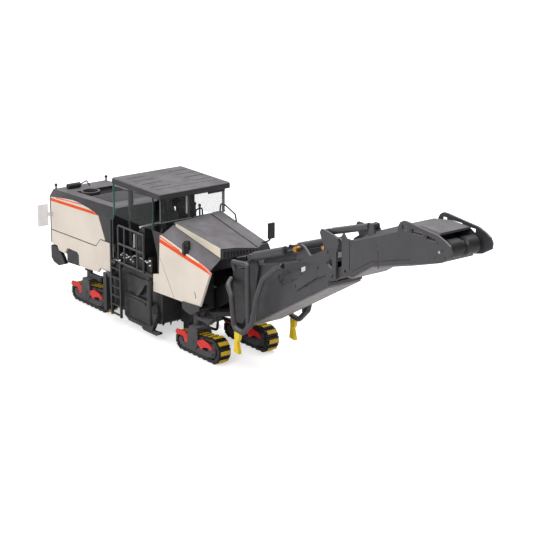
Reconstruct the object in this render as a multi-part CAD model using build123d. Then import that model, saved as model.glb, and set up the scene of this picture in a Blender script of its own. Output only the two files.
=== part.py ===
from build123d import *
import os
from math import atan2, cos, degrees, hypot, pi, radians, sin

# Cold planer milling machine, a 1:50 scale model on four steered tracks.
# Millimetres. +X is forward, towards the discharge conveyor, +Y is left, +Z is up.
# The origin is on the ground, below the middle of the whole length.

# Undercarriage
COLUMN_FRONT_X = -23.5
WHEELBASE = 109.4
TRACK_Y = 16.3
TRACK_WIDTH = 7.8
TRACK_REAR_REACH = 15.4
TRACK_FRONT_REACH = 26.4
TENSION_WHEEL_R = 5.6
SPROCKET_R = 7.4
SHOE_COUNT = 20
SHOE_HEIGHT = 0.5
SHOE_LENGTH = 4.2
PAD_HEIGHT = 0.8
PAD_LENGTH = 2.2
PAD_WIDTH = 6.4
BELT_THICKNESS = 1.1
COLUMN_R = 1.8
COLUMN_SLEEVE_R = 3.0
HANGER_X0, HANGER_X1 = -2.4, 7.2
COLUMN_CLEARANCE = 0.15

# Chassis
CHASSIS_REAR_X = -167.0
CHASSIS_FRONT_X = -17.5
CHASSIS_HALF = 19.0
CHASSIS_REAR_FLOOR_Z = 26.0
CHASSIS_FRONT_FLOOR_Z = 29.0
CHASSIS_TOP_Z = 40.0
SCREW_X = -125.0
SCREW_SPACING = 50.0
SCREW_R = 1.25
SCREW_DEPTH = 8.0
SLEEVE_FRONT_Z = 24.0
SLEEVE_REAR_Z = 21.0

# Rear hood
HOOD_REAR_X = -168.5
HOOD_FRONT_X = -98.5
HOOD_WALL_Y = CHASSIS_HALF + 1.0
HOOD_SHOULDER_Y = HOOD_WALL_Y + 1.3
HOOD_SHOULDER_Z = 59.2
HOOD_TOP_Y = HOOD_WALL_Y - 1.5
HOOD_TOP_REAR_Z = 63.0
HOOD_TOP_FRONT_Z = 66.0
PANEL_THICKNESS = 1.4

# Operator's platform and canopy
PLATFORM_REAR_X = -98.5
PLATFORM_FRONT_X = -50.5
PLATFORM_HALF = CHASSIS_HALF + 3.5
PLATFORM_Z = 37.5
PLATFORM_THICKNESS = 1.5
ROOF_REAR_X = -95.5
ROOF_FRONT_X = -47.0
ROOF_HALF = PLATFORM_HALF + 1.5
ROOF_TOP_Z = 85.6
ROOF_LIP = 3.4
ROOF_LOW_Z = ROOF_TOP_Z - ROOF_LIP
PANE_THICKNESS = 0.8
WINDSCREEN_X = -50.0

# Front hood
FRONT_HOOD_REAR_X = -49.0
FRONT_HOOD_FRONT_X = -4.0
FRONT_HOOD_HALF = CHASSIS_HALF + 2.0
FRONT_HOOD_BASE_Z = 51.0
NOSE_BOTTOM_Z = 57.2

# Milling drum and its housing
DRUM_X = -68.5
DRUM_Z = 12.6
DRUM_CORE_R = 8.2
DRUM_HALF = CHASSIS_HALF
HOUSING_HALF = CHASSIS_HALF + 1.0
HOUSING_REAR_X = -86.0
HOUSING_FRONT_X = -51.0
HOUSING_TOP_Z = 31.0
HOUSING_BOTTOM_Z = 9.0
HOUSING_BORE_R = 11.6
SIDE_PLATE_GAP = 0.5
SIDE_PLATE_THICKNESS = 1.2

# Discharge conveyor
SLEW_X = -3.5
TONGUE_Z = 25.2
SLEW_TOP_Z = 54.8
KING_PIN_R = 1.5
PIN_CLEARANCE = 0.08
LUFF_X, LUFF_Z = 19.5, 43.0
LUFF_BASE_X, LUFF_BASE_Z = 22.5, 65.5
LUFF_EYE_X, LUFF_EYE_Z = 60.8, 78.8
FOLD_X, FOLD_Z = 84.7, 70.4
FOLD_BASE_X, FOLD_BASE_Z = 77.5, 90.5
FOLD_EYE_X, FOLD_EYE_Z = 111.5, 101.0
CHEEK_IN_Y = 11.6
CHEEK_THICKNESS = 1.0
CONVEYOR_HALF = 11.0
CONVEYOR_WALL = 1.0
UPPER_HALF = 11.5
BRACKET_THICKNESS = 1.2
LUFF_CYLINDER_Y = 14.5
FOLD_CYLINDER_Y = 8.4
LUFF_BARREL_R = 2.35
LUFF_BARREL_LENGTH = 31.0
FOLD_BARREL_R = 1.75
FOLD_BARREL_LENGTH = 32.2
ROD_R = 0.8
ROD_CLEARANCE = 0.12
CAGE_Y = 18.6
CAGE_R = 1.45
HEAD_X, HEAD_Z = 161.0, 101.0
HEAD_ROLLER_R = 4.4
HEAD_PLATE_IN_Y = 12.0

os.makedirs("parts", exist_ok=True)


def save(name, *pieces):
    """Write the named sub-part, one or more solids."""
    solids = []
    for piece in pieces:
        solids.extend(piece.solids())
    export_step(Compound(children=solids), f"parts/{name}.step")


def box(x0, x1, y0, y1, z0, z1):
    return Pos((x0 + x1) / 2, (y0 + y1) / 2, (z0 + z1) / 2) * Box(x1 - x0, y1 - y0, z1 - z0)


def side_outline(points, y0, y1):
    """Plate between y0 and y1 with an outline of (x, z) points."""
    wire = Polyline([(x, y0, z) for x, z in points], close=True)
    return extrude(make_face(wire), amount=y1 - y0, dir=(0, 1, 0))


def plan_outline(points, z0, z1):
    """Plate between z0 and z1 with an outline of (x, y) points."""
    wire = Polyline([(x, y, z0) for x, y in points], close=True)
    return extrude(make_face(wire), amount=z1 - z0, dir=(0, 0, 1))


def section(x, points):
    """Face across the machine at x, from (y, z) points."""
    return make_face(Polyline([(x, y, z) for y, z in points], close=True))


def cross_rod(x, z, radius, y0, y1):
    """Round bar along Y."""
    return Pos(x, (y0 + y1) / 2, z) * Rot(90, 0, 0) * Cylinder(radius, abs(y1 - y0))


def post(x, y, radius, z0, z1):
    return Pos(x, y, (z0 + z1) / 2) * Cylinder(radius, z1 - z0)


def tube(points, radius, bend):
    """Round bar along straight runs joined by arcs."""
    path = FilletPolyline(*points, radius=bend)
    profile = Plane(origin=path @ 0, z_dir=path % 0) * Circle(radius)
    return sweep(profile, path)


def other_side(piece):
    return mirror(piece, about=Plane.XZ)


def both(piece):
    return [piece, other_side(piece)]


def aimed(x, y, z, angle):
    """Frame at a pin, its X along a cylinder that rises by angle degrees."""
    return Pos(x, y, z) * Rot(0, -angle, 0)


# Tracks: one loop with its shoes, a frame with the column, guards over the frame.
REAR_WHEEL = (-(TRACK_REAR_REACH - TENSION_WHEEL_R), TENSION_WHEEL_R)
FRONT_WHEEL = (TRACK_FRONT_REACH - SPROCKET_R, SPROCKET_R)


def loop_face(inset):
    """Outline round both wheels, inset from the shoes' outer faces."""
    rear = Pos(REAR_WHEEL[0], REAR_WHEEL[1]) * Circle(TENSION_WHEEL_R - inset)
    front = Pos(FRONT_WHEEL[0], FRONT_WHEEL[1]) * Circle(SPROCKET_R - inset)
    return make_hull(rear.edges() + front.edges())


def upright(face, y0, y1):
    """Stand a face drawn in (x, z) up and extrude it between y0 and y1."""
    return Pos(0, y1, 0) * Rot(90, 0, 0) * extrude(face, amount=y1 - y0)


def make_loop():
    """Belt with its shoes in the outline, and a narrower pad on each shoe."""
    half = TRACK_WIDTH / 2
    skin = PAD_HEIGHT + SHOE_HEIGHT
    path = loop_face(skin).faces()[0].outer_wire()
    middle_x = (FRONT_WHEEL[0] + REAR_WHEEL[0]) / 2
    outline = loop_face(skin) - loop_face(skin + BELT_THICKNESS)
    pads = []
    for number in range(SHOE_COUNT):
        spot = path.position_at((number + 0.5) / SHOE_COUNT)
        along = path.tangent_at((number + 0.5) / SHOE_COUNT)
        outward = Vector(along.Y, -along.X)
        if outward.X * (spot.X - middle_x) + outward.Y * (spot.Y - SPROCKET_R) < 0:
            outward = -outward
        turn = Rot(0, 0, degrees(atan2(along.Y, along.X)))
        sunk = BELT_THICKNESS / 2
        shift = outward * ((SHOE_HEIGHT - sunk) / 2)
        outline += Pos(spot.X + shift.X, spot.Y + shift.Y) * turn * Rectangle(SHOE_LENGTH, SHOE_HEIGHT + sunk)
        shift = outward * ((skin - sunk) / 2)
        pads.append(Pos(spot.X + shift.X, spot.Y + shift.Y) * turn * Rectangle(PAD_LENGTH, skin + sunk))
    loop = upright(outline, -half, half)
    for pad in pads:
        loop += upright(pad, -PAD_WIDTH / 2, PAD_WIDTH / 2)
    return loop


def make_track_frame(sleeve_z):
    """Frame inside the loop, hung from plates on both sides of it, and the column."""
    inner = PAD_HEIGHT + SHOE_HEIGHT + BELT_THICKNESS + 0.35
    frame = upright(loop_face(inner), -2.6, 2.6)
    frame += cross_rod(REAR_WHEEL[0], REAR_WHEEL[1], 2.2, -3.8, 3.8)
    frame += cross_rod(FRONT_WHEEL[0], FRONT_WHEEL[1], 3.6, -3.8, 3.8)
    frame += box(-11.2, 19.0, -3.6, 3.6, 3.0, 5.4)
    frame += cross_rod(FRONT_WHEEL[0], FRONT_WHEEL[1], 2.8, -4.1, 4.1)
    frame += box(HANGER_X0 + 0.6, 4.8, -4.2, 4.2, 5.0, 8.0)
    hanger = [(HANGER_X0, 5.0), (HANGER_X0, 12.3), (-1.0, 15.2), (1.2, 16.6), (4.6, 16.6), (6.4, 15.4),
              (HANGER_X1, 12.5), (HANGER_X1, 7.0), (5.1, 4.4)]
    rail = [(-9.4, 6.2), (-9.4, 4.4), (-8.0, 3.0), (16.0, 3.0), (19.6, 4.6), (20.4, 6.3)]
    for side in (-1, 1):
        y0, y1 = sorted((side * 4.1, side * 4.9))
        frame += side_outline(hanger, y0, y1)
        y0, y1 = sorted((side * 4.05, side * 4.5))
        frame += side_outline(rail, y0, y1)
        frame += cross_rod(2.6, 8.6, 1.3, *sorted((side * 4.8, side * 5.2)))
    frame += box(HANGER_X0 + 1.2, 5.4, -4.5, 4.5, 15.0, 16.6)
    frame += post(0, 0, COLUMN_R, 16.0, sleeve_z + 8.0)
    arm_z = sleeve_z - 3.8
    frame += box(1.0, 11.6, -1.3, 1.3, arm_z, arm_z + 1.9) + post(11.6, 0, 1.8, arm_z - 0.2, arm_z + 2.1)
    return frame


def make_guards():
    """Angular guards beside the frame, either side of its hanging plates."""
    guards = []
    for side in (-1, 1):
        y0, y1 = sorted((side * 4.15, side * 4.85))
        guards.append(side_outline([(-13.9, 9.8), (-12.6, 11.8), (-4.6, 12.5), (HANGER_X0, 10.8),
                                    (HANGER_X0, 6.9), (-3.4, 6.4), (-4.8, 6.4), (-6.4, 9.2), (-12.7, 9.0)],
                                    y0, y1))
        guards.append(side_outline([(HANGER_X1, 8.4), (HANGER_X1, 10.4), (9.3, 11.4), (12.2, 12.2),
                                    (17.4, 11.3), (20.6, 9.1), (19.7, 8.2), (16.4, 8.8), (12.1, 7.8),
                                    (11.7, 6.6), (9.8, 6.6)], y0, y1))
    return guards


COLUMN_REAR_X = COLUMN_FRONT_X - WHEELBASE
LOOP = make_loop()
CORNERS = [("fr", COLUMN_FRONT_X, -1, SLEEVE_FRONT_Z),
           ("fl", COLUMN_FRONT_X, 1, SLEEVE_FRONT_Z),
           ("rr", COLUMN_REAR_X, -1, SLEEVE_REAR_Z),
           ("rl", COLUMN_REAR_X, 1, SLEEVE_REAR_Z)]
for code, column_x, side, sleeve_z in CORNERS:
    place = Pos(column_x, side * TRACK_Y, 0)
    save(f"track_loop_{code}", place * LOOP)
    save(f"track_frame_{code}", place * make_track_frame(sleeve_z))
    save(f"track_guards_{code}", *[place * guard for guard in make_guards()])

# Chassis: rear tank body, floor under the platform, front box with a tunnel for the belt.
chassis = box(CHASSIS_REAR_X, HOUSING_REAR_X, -CHASSIS_HALF, CHASSIS_HALF, CHASSIS_REAR_FLOOR_Z,
              CHASSIS_TOP_Z)
chassis -= box(HOOD_FRONT_X, HOUSING_REAR_X + 1, -30, 30, PLATFORM_Z - PLATFORM_THICKNESS, CHASSIS_TOP_Z + 1)
chassis += box(HOUSING_REAR_X, PLATFORM_FRONT_X, -CHASSIS_HALF, CHASSIS_HALF, HOUSING_TOP_Z,
               PLATFORM_Z - PLATFORM_THICKNESS)
chassis += box(PLATFORM_FRONT_X, CHASSIS_FRONT_X, -CHASSIS_HALF, CHASSIS_HALF, CHASSIS_FRONT_FLOOR_Z,
               FRONT_HOOD_BASE_Z)
chassis -= box(PLATFORM_FRONT_X - 0.5, CHASSIS_FRONT_X + 1, -9.2, 9.2, 20, 47)
for code, column_x, side, sleeve_z in CORNERS:
    chassis += post(column_x, side * TRACK_Y, COLUMN_SLEEVE_R, sleeve_z, 34)
saddle = side_outline([(-28.0, 28.6), (-12.4, 28.6), (-15.0, 27.0), (-20.0, 24.3), (-24.5, 24.9),
                       (-28.0, 26.0)], -FRONT_HOOD_HALF - 1.9, -13.0)
saddle += side_outline([(-28.0, 28.0), (-28.0, 30.0), (-12.0, 31.2), (-12.4, 28.2)],
                       -FRONT_HOOD_HALF - 1.9, -FRONT_HOOD_HALF - PANEL_THICKNESS - 0.05)
chassis += saddle + other_side(saddle)
tongue = plan_outline([(CHASSIS_FRONT_X, -13.0), (CHASSIS_FRONT_X + 3, -13.0), (-9.0, -5.0), (0.5, -4.0),
                       (0.5, 4.0), (-9.0, 5.0), (CHASSIS_FRONT_X + 3, 13.0), (CHASSIS_FRONT_X, 13.0)],
                      TONGUE_Z - 2.4, TONGUE_Z)
chassis += tongue
for side in (-1, 1):
    y0, y1 = sorted((side * 9.2, side * 13.0))
    chassis += box(CHASSIS_FRONT_X - 3, CHASSIS_FRONT_X, y0, y1, TONGUE_Z - 2.4, CHASSIS_FRONT_FLOOR_Z)
chassis += post(SLEW_X, 0, KING_PIN_R, TONGUE_Z, TONGUE_Z + 3.4)
for screw_x in (SCREW_X - SCREW_SPACING / 2, SCREW_X + SCREW_SPACING / 2):
    chassis -= post(screw_x, 0, SCREW_R, CHASSIS_REAR_FLOOR_Z - 1, CHASSIS_REAR_FLOOR_Z + SCREW_DEPTH)
for code, column_x, side, sleeve_z in CORNERS:
    chassis -= post(column_x, side * TRACK_Y, COLUMN_R + COLUMN_CLEARANCE, sleeve_z - 1, sleeve_z + 8.6)
save("chassis_frame", chassis)

# Rear hood: solid grey shell, recessed deck, front pillars beside the platform.
hood_rear = [(-HOOD_WALL_Y, CHASSIS_TOP_Z), (-HOOD_WALL_Y, HOOD_SHOULDER_Z),
             (-HOOD_SHOULDER_Y, HOOD_SHOULDER_Z), (-HOOD_TOP_Y, HOOD_TOP_REAR_Z),
             (HOOD_TOP_Y, HOOD_TOP_REAR_Z), (HOOD_SHOULDER_Y, HOOD_SHOULDER_Z),
             (HOOD_WALL_Y, HOOD_SHOULDER_Z), (HOOD_WALL_Y, CHASSIS_TOP_Z)]
hood_front = [(y, HOOD_TOP_FRONT_Z if z == HOOD_TOP_REAR_Z else z) for y, z in hood_rear]
rear_hood = loft([section(HOOD_REAR_X, hood_rear), section(HOOD_FRONT_X, hood_front)], ruled=True)
DECK_X0, DECK_X1, DECK_HALF = -152.5, -113.0, 12.5
DECK_DEPTH = 1.6
REAR_EDGE_X = -167.2
rear_hood -= box(DECK_X0, DECK_X1, -DECK_HALF, DECK_HALF, HOOD_TOP_REAR_Z - DECK_DEPTH, HOOD_TOP_FRONT_Z + 2)
pillar = side_outline([(-114.0, HOOD_SHOULDER_Z), (-98.5, HOOD_SHOULDER_Z), (-98.5, 45.4), (-106.8, 45.4)],
                       -HOOD_SHOULDER_Y, -HOOD_WALL_Y)
corner_post = box(HOOD_REAR_X, REAR_EDGE_X - 0.05, -HOOD_SHOULDER_Y, -HOOD_WALL_Y, 30.6, HOOD_SHOULDER_Z)
rear_hood = rear_hood + pillar + other_side(pillar) + corner_post + other_side(corner_post)
save("rear_hood", rear_hood)

DECK_FLOOR_Z = HOOD_TOP_REAR_Z - DECK_DEPTH
grille = box(DECK_X0 + 0.1, DECK_X1 - 0.1, -DECK_HALF + 0.1, DECK_HALF - 0.1, DECK_FLOOR_Z,
             DECK_FLOOR_Z + 0.6)
RIB_COUNT = 12
RIB_PITCH = 2.0
for number in range(RIB_COUNT):
    rib_x = DECK_X1 - 1.2 - RIB_PITCH * number
    rib_top = DECK_FLOOR_Z + 1.6 + 0.06 * (rib_x - DECK_X0)
    grille += box(rib_x - 0.8, rib_x, -DECK_HALF + 0.8, DECK_HALF - 0.8, DECK_FLOOR_Z + 0.5, rib_top)
INTAKE_X, INTAKE_Y = -146.0, -6.5
intake_outer = Pos(INTAKE_X, INTAKE_Y, DECK_FLOOR_Z) * extrude(Ellipse(5.4, 7.4 - 1.6), amount=3.4)
intake_bore = Pos(INTAKE_X, INTAKE_Y, DECK_FLOOR_Z + 1.2) * extrude(Ellipse(4.4, 4.8), amount=6)
grille = grille + intake_outer - intake_bore

EXHAUST_X, EXHAUST_Z = -161.3, 65.0
exhaust = cross_rod(EXHAUST_X, EXHAUST_Z, 1.6, -13.0, -4.5) + box(EXHAUST_X - 1.2, EXHAUST_X + 1.2, -11,
                                                                  -6.5, 63.0, 64.4)
exhaust += tube([(EXHAUST_X, -5.0, EXHAUST_Z), (EXHAUST_X, -3.0, EXHAUST_Z + 0.6),
                 (EXHAUST_X, 0.2, EXHAUST_Z + 1.8), (EXHAUST_X, 2.6, HOOD_TOP_REAR_Z)], 0.35, 0.5)
lamp = post(-167.0, -17.6, 0.5, HOOD_TOP_REAR_Z - 0.5, 65.2) + Pos(-167.0, -17.6, 65.6) * Sphere(0.95)
save("exhaust", exhaust - rear_hood, *[piece - rear_hood for piece in both(lamp)])

SIDE_IN = HOOD_WALL_Y
SIDE_OUT = HOOD_WALL_Y + PANEL_THICKNESS
upper_panel = side_outline([(REAR_EDGE_X, 38.9), (-117.3, 40.1), (-112.3, 45.2), (-107.3, 45.4),
                            (-114.2, 58.9), (REAR_EDGE_X, 58.9)], -SIDE_OUT, -SIDE_IN)
save("rear_upper_panels", *both(upper_panel))
lower_panel = side_outline([(REAR_EDGE_X, 38.6), (-117.2, 39.8), (-112.2, 44.9), (-100.9, 45.1),
                            (-100.4, 36.8), (-102.1, 27.9), (-113.1, 27.7), (-115.6, 24.5), (-133.5, 23.2),
                             (-136.6, 24.0), (-136.6, 29.6), (-138.4, 31.2), (-149.6, 31.2),
                            (-152.6, 27.0), (-159.4, 27.4), (-161.0, 30.0), (REAR_EDGE_X, 30.0)],
                           -SIDE_OUT, -SIDE_IN)
LOWER_PACKING = box(-166.0, -102.5, -SIDE_IN, -CHASSIS_HALF, 34.0, 38.0)
save("rear_lower_panels", *both(lower_panel + LOWER_PACKING))

vent = side_outline([(-151.0, 21.8), (-137.3, 22.8), (-137.3, 29.0), (-138.8, 30.6), (-149.0, 30.6),
                     (-151.0, 28.0)], -CHASSIS_HALF - 1.8, -CHASSIS_HALF)
corner = side_outline([(-168.9, 28.6), (-161.0, 28.8), (-155.6, 24.0), (-153.0, 20.2), (-160.3, 17.6),
                       (-166.2, 18.6), (-168.9, 21.0)], -CHASSIS_HALF - 2.2, -CHASSIS_HALF)
cross_beam = box(-168.9, CHASSIS_REAR_X, -CHASSIS_HALF - 2.2, CHASSIS_HALF + 2.2, 24.0, 28.6)
bumper = cross_beam + corner + other_side(corner)
save("rear_bumper", bumper, *both(vent))

louvre = box(-169.2, HOOD_REAR_X, -14.0, 14.0, 42.0, 58.0)
for number in range(8):
    slat_z = 43.0 + 1.8 * number
    louvre -= box(-169.3, -168.75, -12.8, 12.8, slat_z, slat_z + 1.0)

# Platform, its rear wall is the hood's front face.
floor = box(PLATFORM_REAR_X, PLATFORM_FRONT_X, -PLATFORM_HALF, PLATFORM_HALF,
            PLATFORM_Z - PLATFORM_THICKNESS, PLATFORM_Z)
for side in (-1, 1):
    floor -= box(-57.0, PLATFORM_FRONT_X, *sorted((side * FRONT_HOOD_HALF, side * (PLATFORM_HALF + 1))),
                 30.0, 40.0)
save("platform_floor", floor)
dash = side_outline([(-50.5, PLATFORM_Z), (-54.5, PLATFORM_Z), (-54.5, 58.0), (-50.5, 66.4)],
                    -PLATFORM_HALF + 2.5, PLATFORM_HALF - 2.5)
desk = box(-72.5, -66.0, 1.0 - PLATFORM_HALF, 10.0 - PLATFORM_HALF, PLATFORM_Z,
           56.0) + side_outline([(-74.0, 56.0), (-65.0, 56.0), (-65.0, 62.4), (-68.0, 62.4)],
                                0.5 - PLATFORM_HALF, 10.5 - PLATFORM_HALF)
seat = box(-88.0, -79.0, -16.5, -8.5, 47.0, 49.5)
seat += side_outline([(-88.0, 47.0), (-85.6, 47.0), (-88.0, 61.0), (-90.2, 61.0)], -16.5, -8.5)
seat += post(-83.5, -12.5, 1.6, PLATFORM_Z, 47.2)
save("cockpit_fittings", dash, *both(desk), *both(seat))

RAIL_Y = PLATFORM_HALF + 0.6
RAIL_R = 0.55
rail = tube([(-90.6, -RAIL_Y, 36.8), (-90.6, -RAIL_Y, 58.6), (-64.9, -RAIL_Y, 58.6),
             (-64.9, -RAIL_Y, 36.8)], RAIL_R, 1.2)
for rail_z in (37.0, 48.0):
    rail += Pos(-77.75, -RAIL_Y, rail_z) * Rot(0, 90, 0) * Cylinder(RAIL_R, 25.7)
for rail_x in (-84.2, -71.3):
    rail += post(rail_x, -RAIL_Y, RAIL_R, 37.0, 58.6)

LADDER_Y = PLATFORM_HALF + 1.8
LADDER_X0, LADDER_X1 = -96.2, -86.8
ladder = box(LADDER_X0 - 0.6, LADDER_X0 + 0.6, -LADDER_Y - 0.6, -LADDER_Y + 0.6, 4.8, 61.0)
ladder += box(LADDER_X1 - 0.6, LADDER_X1 + 0.6, -LADDER_Y - 0.6, -LADDER_Y + 0.6, 4.8, 36.6)
for number in range(6):
    rung_z = 5.6 + 5.4 * number
    ladder += box(LADDER_X0, LADDER_X1, -LADDER_Y - 0.5, -LADDER_Y + 0.5, rung_z, rung_z + 0.8)
ladder += box(LADDER_X0 - 0.6, -91.4, -LADDER_Y - 0.6, -PLATFORM_HALF, 36.0, PLATFORM_Z)
ladder += box(LADDER_X1 - 0.6, LADDER_X1 + 0.6, -LADDER_Y - 0.6, -PLATFORM_HALF, 34.6, 36.2)
save("ladders", *both(ladder))

# Canopy
roof = box(ROOF_REAR_X, ROOF_FRONT_X, -ROOF_HALF, ROOF_HALF, ROOF_LOW_Z, ROOF_TOP_Z)
roof = fillet(roof.edges().filter_by(Axis.Z), 1.5)
roof = fillet(roof.faces().sort_by(Axis.Z)[-1].edges(), 1.4)
roof -= box(ROOF_REAR_X + 1.2, ROOF_FRONT_X - 1.2, -ROOF_HALF + 1.2, ROOF_HALF - 1.2, 80.0, ROOF_TOP_Z - 1.9)
GROOVE = 0.6
for groove_x in (-87.0, -79.0, -71.0, -62.6):
    for y0, y1 in ((-19.6, -6.6), (8.6, 22.0)):
        roof -= box(groove_x, groove_x + GROOVE, y0, y1, ROOF_TOP_Z - GROOVE, ROOF_TOP_Z + 1)
roof -= box(-57.0, -56.6, -20.5, 22.0, ROOF_TOP_Z - 0.4, ROOF_TOP_Z + 1)
save("canopy_roof", roof)
ROOF_UNDER_Z = ROOF_TOP_Z - 1.9
posts = [post(-94.5 + 2.2, -13.0, 1.5, PLATFORM_Z, ROOF_UNDER_Z), post(-94.5 + 2.2, 13.0, 1.5, PLATFORM_Z,
                                                                       ROOF_UNDER_Z),
         box(WINDSCREEN_X - 2.4, WINDSCREEN_X - 0.4, -1.7, 1.7, 66.4, ROOF_UNDER_Z)]
save("canopy_posts", *posts)
side_pane = box(-93.5, -54.0, -ROOF_HALF + 0.2, -ROOF_HALF + 0.2 + PANE_THICKNESS, 64.0, ROOF_LOW_Z)
screen = box(WINDSCREEN_X - 0.4, WINDSCREEN_X - 0.4 + PANE_THICKNESS, -21.5, -0.3, 68.6, ROOF_UNDER_Z)
save("window_panes", *both(side_pane), *both(screen))

# Front hood: central box, near shoulder, raised ridge on the left side.
HOOD_CROWN_REAR = [(-FRONT_HOOD_HALF, 62.4), (-13.5, 66.6), (-13.5, 67.8), (-3.0, 68.2), (11.0, 68.8),
                   (13.5, 69.5), (18.6, 69.5), (FRONT_HOOD_HALF, 63.0)]
HOOD_CROWN_NOSE = [(-FRONT_HOOD_HALF, 52.0), (-13.5, 57.6), (-13.5, 63.0), (-3.0, 62.0), (11.0, 59.4),
                   (13.5, 61.0), (18.0, 61.0), (FRONT_HOOD_HALF, 54.0)]
NOSE_X = FRONT_HOOD_FRONT_X - 1.0


def crown(x):
    """Upper outline of the front hood at x, between the two drawn sections."""
    share = (x - FRONT_HOOD_REAR_X) / (NOSE_X - FRONT_HOOD_REAR_X)
    pairs = zip(HOOD_CROWN_REAR, HOOD_CROWN_NOSE)
    return [(a[0] + share * (b[0] - a[0]), a[1] + share * (b[1] - a[1])) for a, b in pairs]


def block_section(x):
    return section(x, crown(x) + [(FRONT_HOOD_HALF, FRONT_HOOD_BASE_Z),
                                  (-FRONT_HOOD_HALF, FRONT_HOOD_BASE_Z)])


def shell_section(x):
    top = crown(x)
    edge = [(FRONT_HOOD_HALF, top[-1][1] - 1.2), (13.5, NOSE_BOTTOM_Z), (-12.5, NOSE_BOTTOM_Z),
            (-FRONT_HOOD_HALF, top[0][1] - 1.2)]
    return section(x, top + edge)


front_hood = loft([block_section(FRONT_HOOD_REAR_X), block_section(CHASSIS_FRONT_X)], ruled=True)
front_hood += loft([shell_section(CHASSIS_FRONT_X), shell_section(NOSE_X)], ruled=True)
front_hood += post(SLEW_X, 0, KING_PIN_R, SLEW_TOP_Z - 3.0, NOSE_BOTTOM_Z)
front_hood += box(-12.0, NOSE_X + 2.4, -4.0, 4.0, NOSE_BOTTOM_Z - 1.6, NOSE_BOTTOM_Z)
hood_pillar = side_outline([(-59.2, 62.5), (-48.6, 62.2), (-48.6, 51.6), (-51.4, 51.6), (-51.6, 39.8),
                            (-53.8, 39.6), (-54.4, 50.0)], -FRONT_HOOD_HALF, -FRONT_HOOD_HALF + 0.9)
front_hood += hood_pillar + other_side(hood_pillar)
save("front_hood", front_hood)
front_panel = side_outline([(-49.5, 62.0), (-2.7, 51.4), (-12.3, 30.7), (-15.0, 30.0), (-23.0, 28.9),
                            (-30.0, 29.4), (-56.6, 28.3), (-56.4, 38.2), (-50.7, 39.6)],
                           -FRONT_HOOD_HALF - PANEL_THICKNESS, -FRONT_HOOD_HALF)
packing = box(-49.0, CHASSIS_FRONT_X, -FRONT_HOOD_HALF, -CHASSIS_HALF, 34.0, 50.5)
save("front_side_panels", *both(front_panel + packing))
strip_points = [(-46.5, 66.2), (-46.5, 67.75), (-5.2, 63.2), (-5.2, 58.2)]
save("hood_strip", side_outline(strip_points, -13.9, -13.5))
nose_outline = [(-13.2, NOSE_BOTTOM_Z + 0.3), (-13.2, 62.4), (-3.0, 61.6), (10.6, 59.0),
                (10.6, NOSE_BOTTOM_Z + 0.3)]
nose_grille = extrude(section(NOSE_X, nose_outline), amount=1.2, dir=(1, 0, 0))
for number in range(11):
    slot_y = -12.2 + 2.1 * number
    nose_grille -= box(NOSE_X + 0.6, NOSE_X + 2, slot_y, slot_y + 1.1, NOSE_BOTTOM_Z + 0.9,
                       61.2 - 0.16 * number)
save("grilles", grille, louvre, nose_grille)

# Scarifying housing round the drum, open below, and the drum with its picks.
housing = side_outline([(HOUSING_REAR_X, HOUSING_TOP_Z), (HOUSING_REAR_X, HOUSING_BOTTOM_Z + 2),
                        (HOUSING_REAR_X + 3, HOUSING_BOTTOM_Z), (HOUSING_FRONT_X - 3, HOUSING_BOTTOM_Z),
                        (HOUSING_FRONT_X, HOUSING_BOTTOM_Z + 2), (HOUSING_FRONT_X, HOUSING_TOP_Z)],
                       -HOUSING_HALF, HOUSING_HALF)
BORE_HALF = DRUM_HALF + 0.4
housing -= cross_rod(DRUM_X, DRUM_Z, HOUSING_BORE_R, -BORE_HALF, BORE_HALF)
housing -= box(DRUM_X - HOUSING_BORE_R, DRUM_X + HOUSING_BORE_R, -BORE_HALF, BORE_HALF, 0, DRUM_Z)
housing -= cross_rod(DRUM_X, DRUM_Z, 2.1, -30, 30)
save("drum_housing", housing)
drum = cross_rod(DRUM_X, DRUM_Z, DRUM_CORE_R, -DRUM_HALF, DRUM_HALF)
drum += cross_rod(DRUM_X, DRUM_Z, 2.0, -DRUM_HALF - 0.8, DRUM_HALF + 0.8)
PICK_ROWS = 16
PICKS_PER_ROW = 4
for row in range(PICK_ROWS):
    pick_y = -DRUM_HALF + 1.2 + (2 * DRUM_HALF - 2.4) * row / (PICK_ROWS - 1)
    swing = 24.0 * abs(row - (PICK_ROWS - 1) / 2)
    for number in range(PICKS_PER_ROW):
        angle = swing + 360 / PICKS_PER_ROW * number
        pick = Pos(DRUM_X, pick_y, DRUM_Z) * Rot(0, angle, 0) * Pos(0, 0, DRUM_CORE_R + 1.0)
        drum += pick * Rot(0, 35, 0) * Cone(0.85, 0.25, 3.2)
save("milling_drum", drum)

PLATE_IN = HOUSING_HALF + SIDE_PLATE_GAP
PLATE_OUT = PLATE_IN + SIDE_PLATE_THICKNESS
LIFT_X = -58.6
LIFT_Y = PLATE_OUT + 1.7
side_plate = side_outline([(-87.4, 6.4), (-84.0, 4.6), (-60.4, 4.6), (-53.0, 12.6), (-54.4, 20.2),
                           (-85.0, 20.2), (-87.4, 18.0)], -PLATE_OUT, -PLATE_IN)
side_plate += box(-82.5, -60.6, -PLATE_OUT - 0.8, -PLATE_IN - 0.4, 4.4, 6.4)
side_plate += box(-83.0, -65.5, -PLATE_OUT - 0.6, -PLATE_IN - 0.4, 17.4, 18.6)
side_plate += side_outline([(-61.6, 4.4), (-57.6, 4.4), (-52.4, 15.6), (-55.8, 15.6)], -PLATE_OUT - 1.3,
                           -PLATE_IN - 0.4)
side_plate += side_outline([(-69.0, 3.8), (-67.4, 2.6), (-54.4, 2.6), (-50.6, 4.4), (-51.2, 5.4),
                            (-55.0, 4.9), (-68.4, 4.9)], -PLATE_OUT - 0.6, -PLATE_IN)
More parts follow.
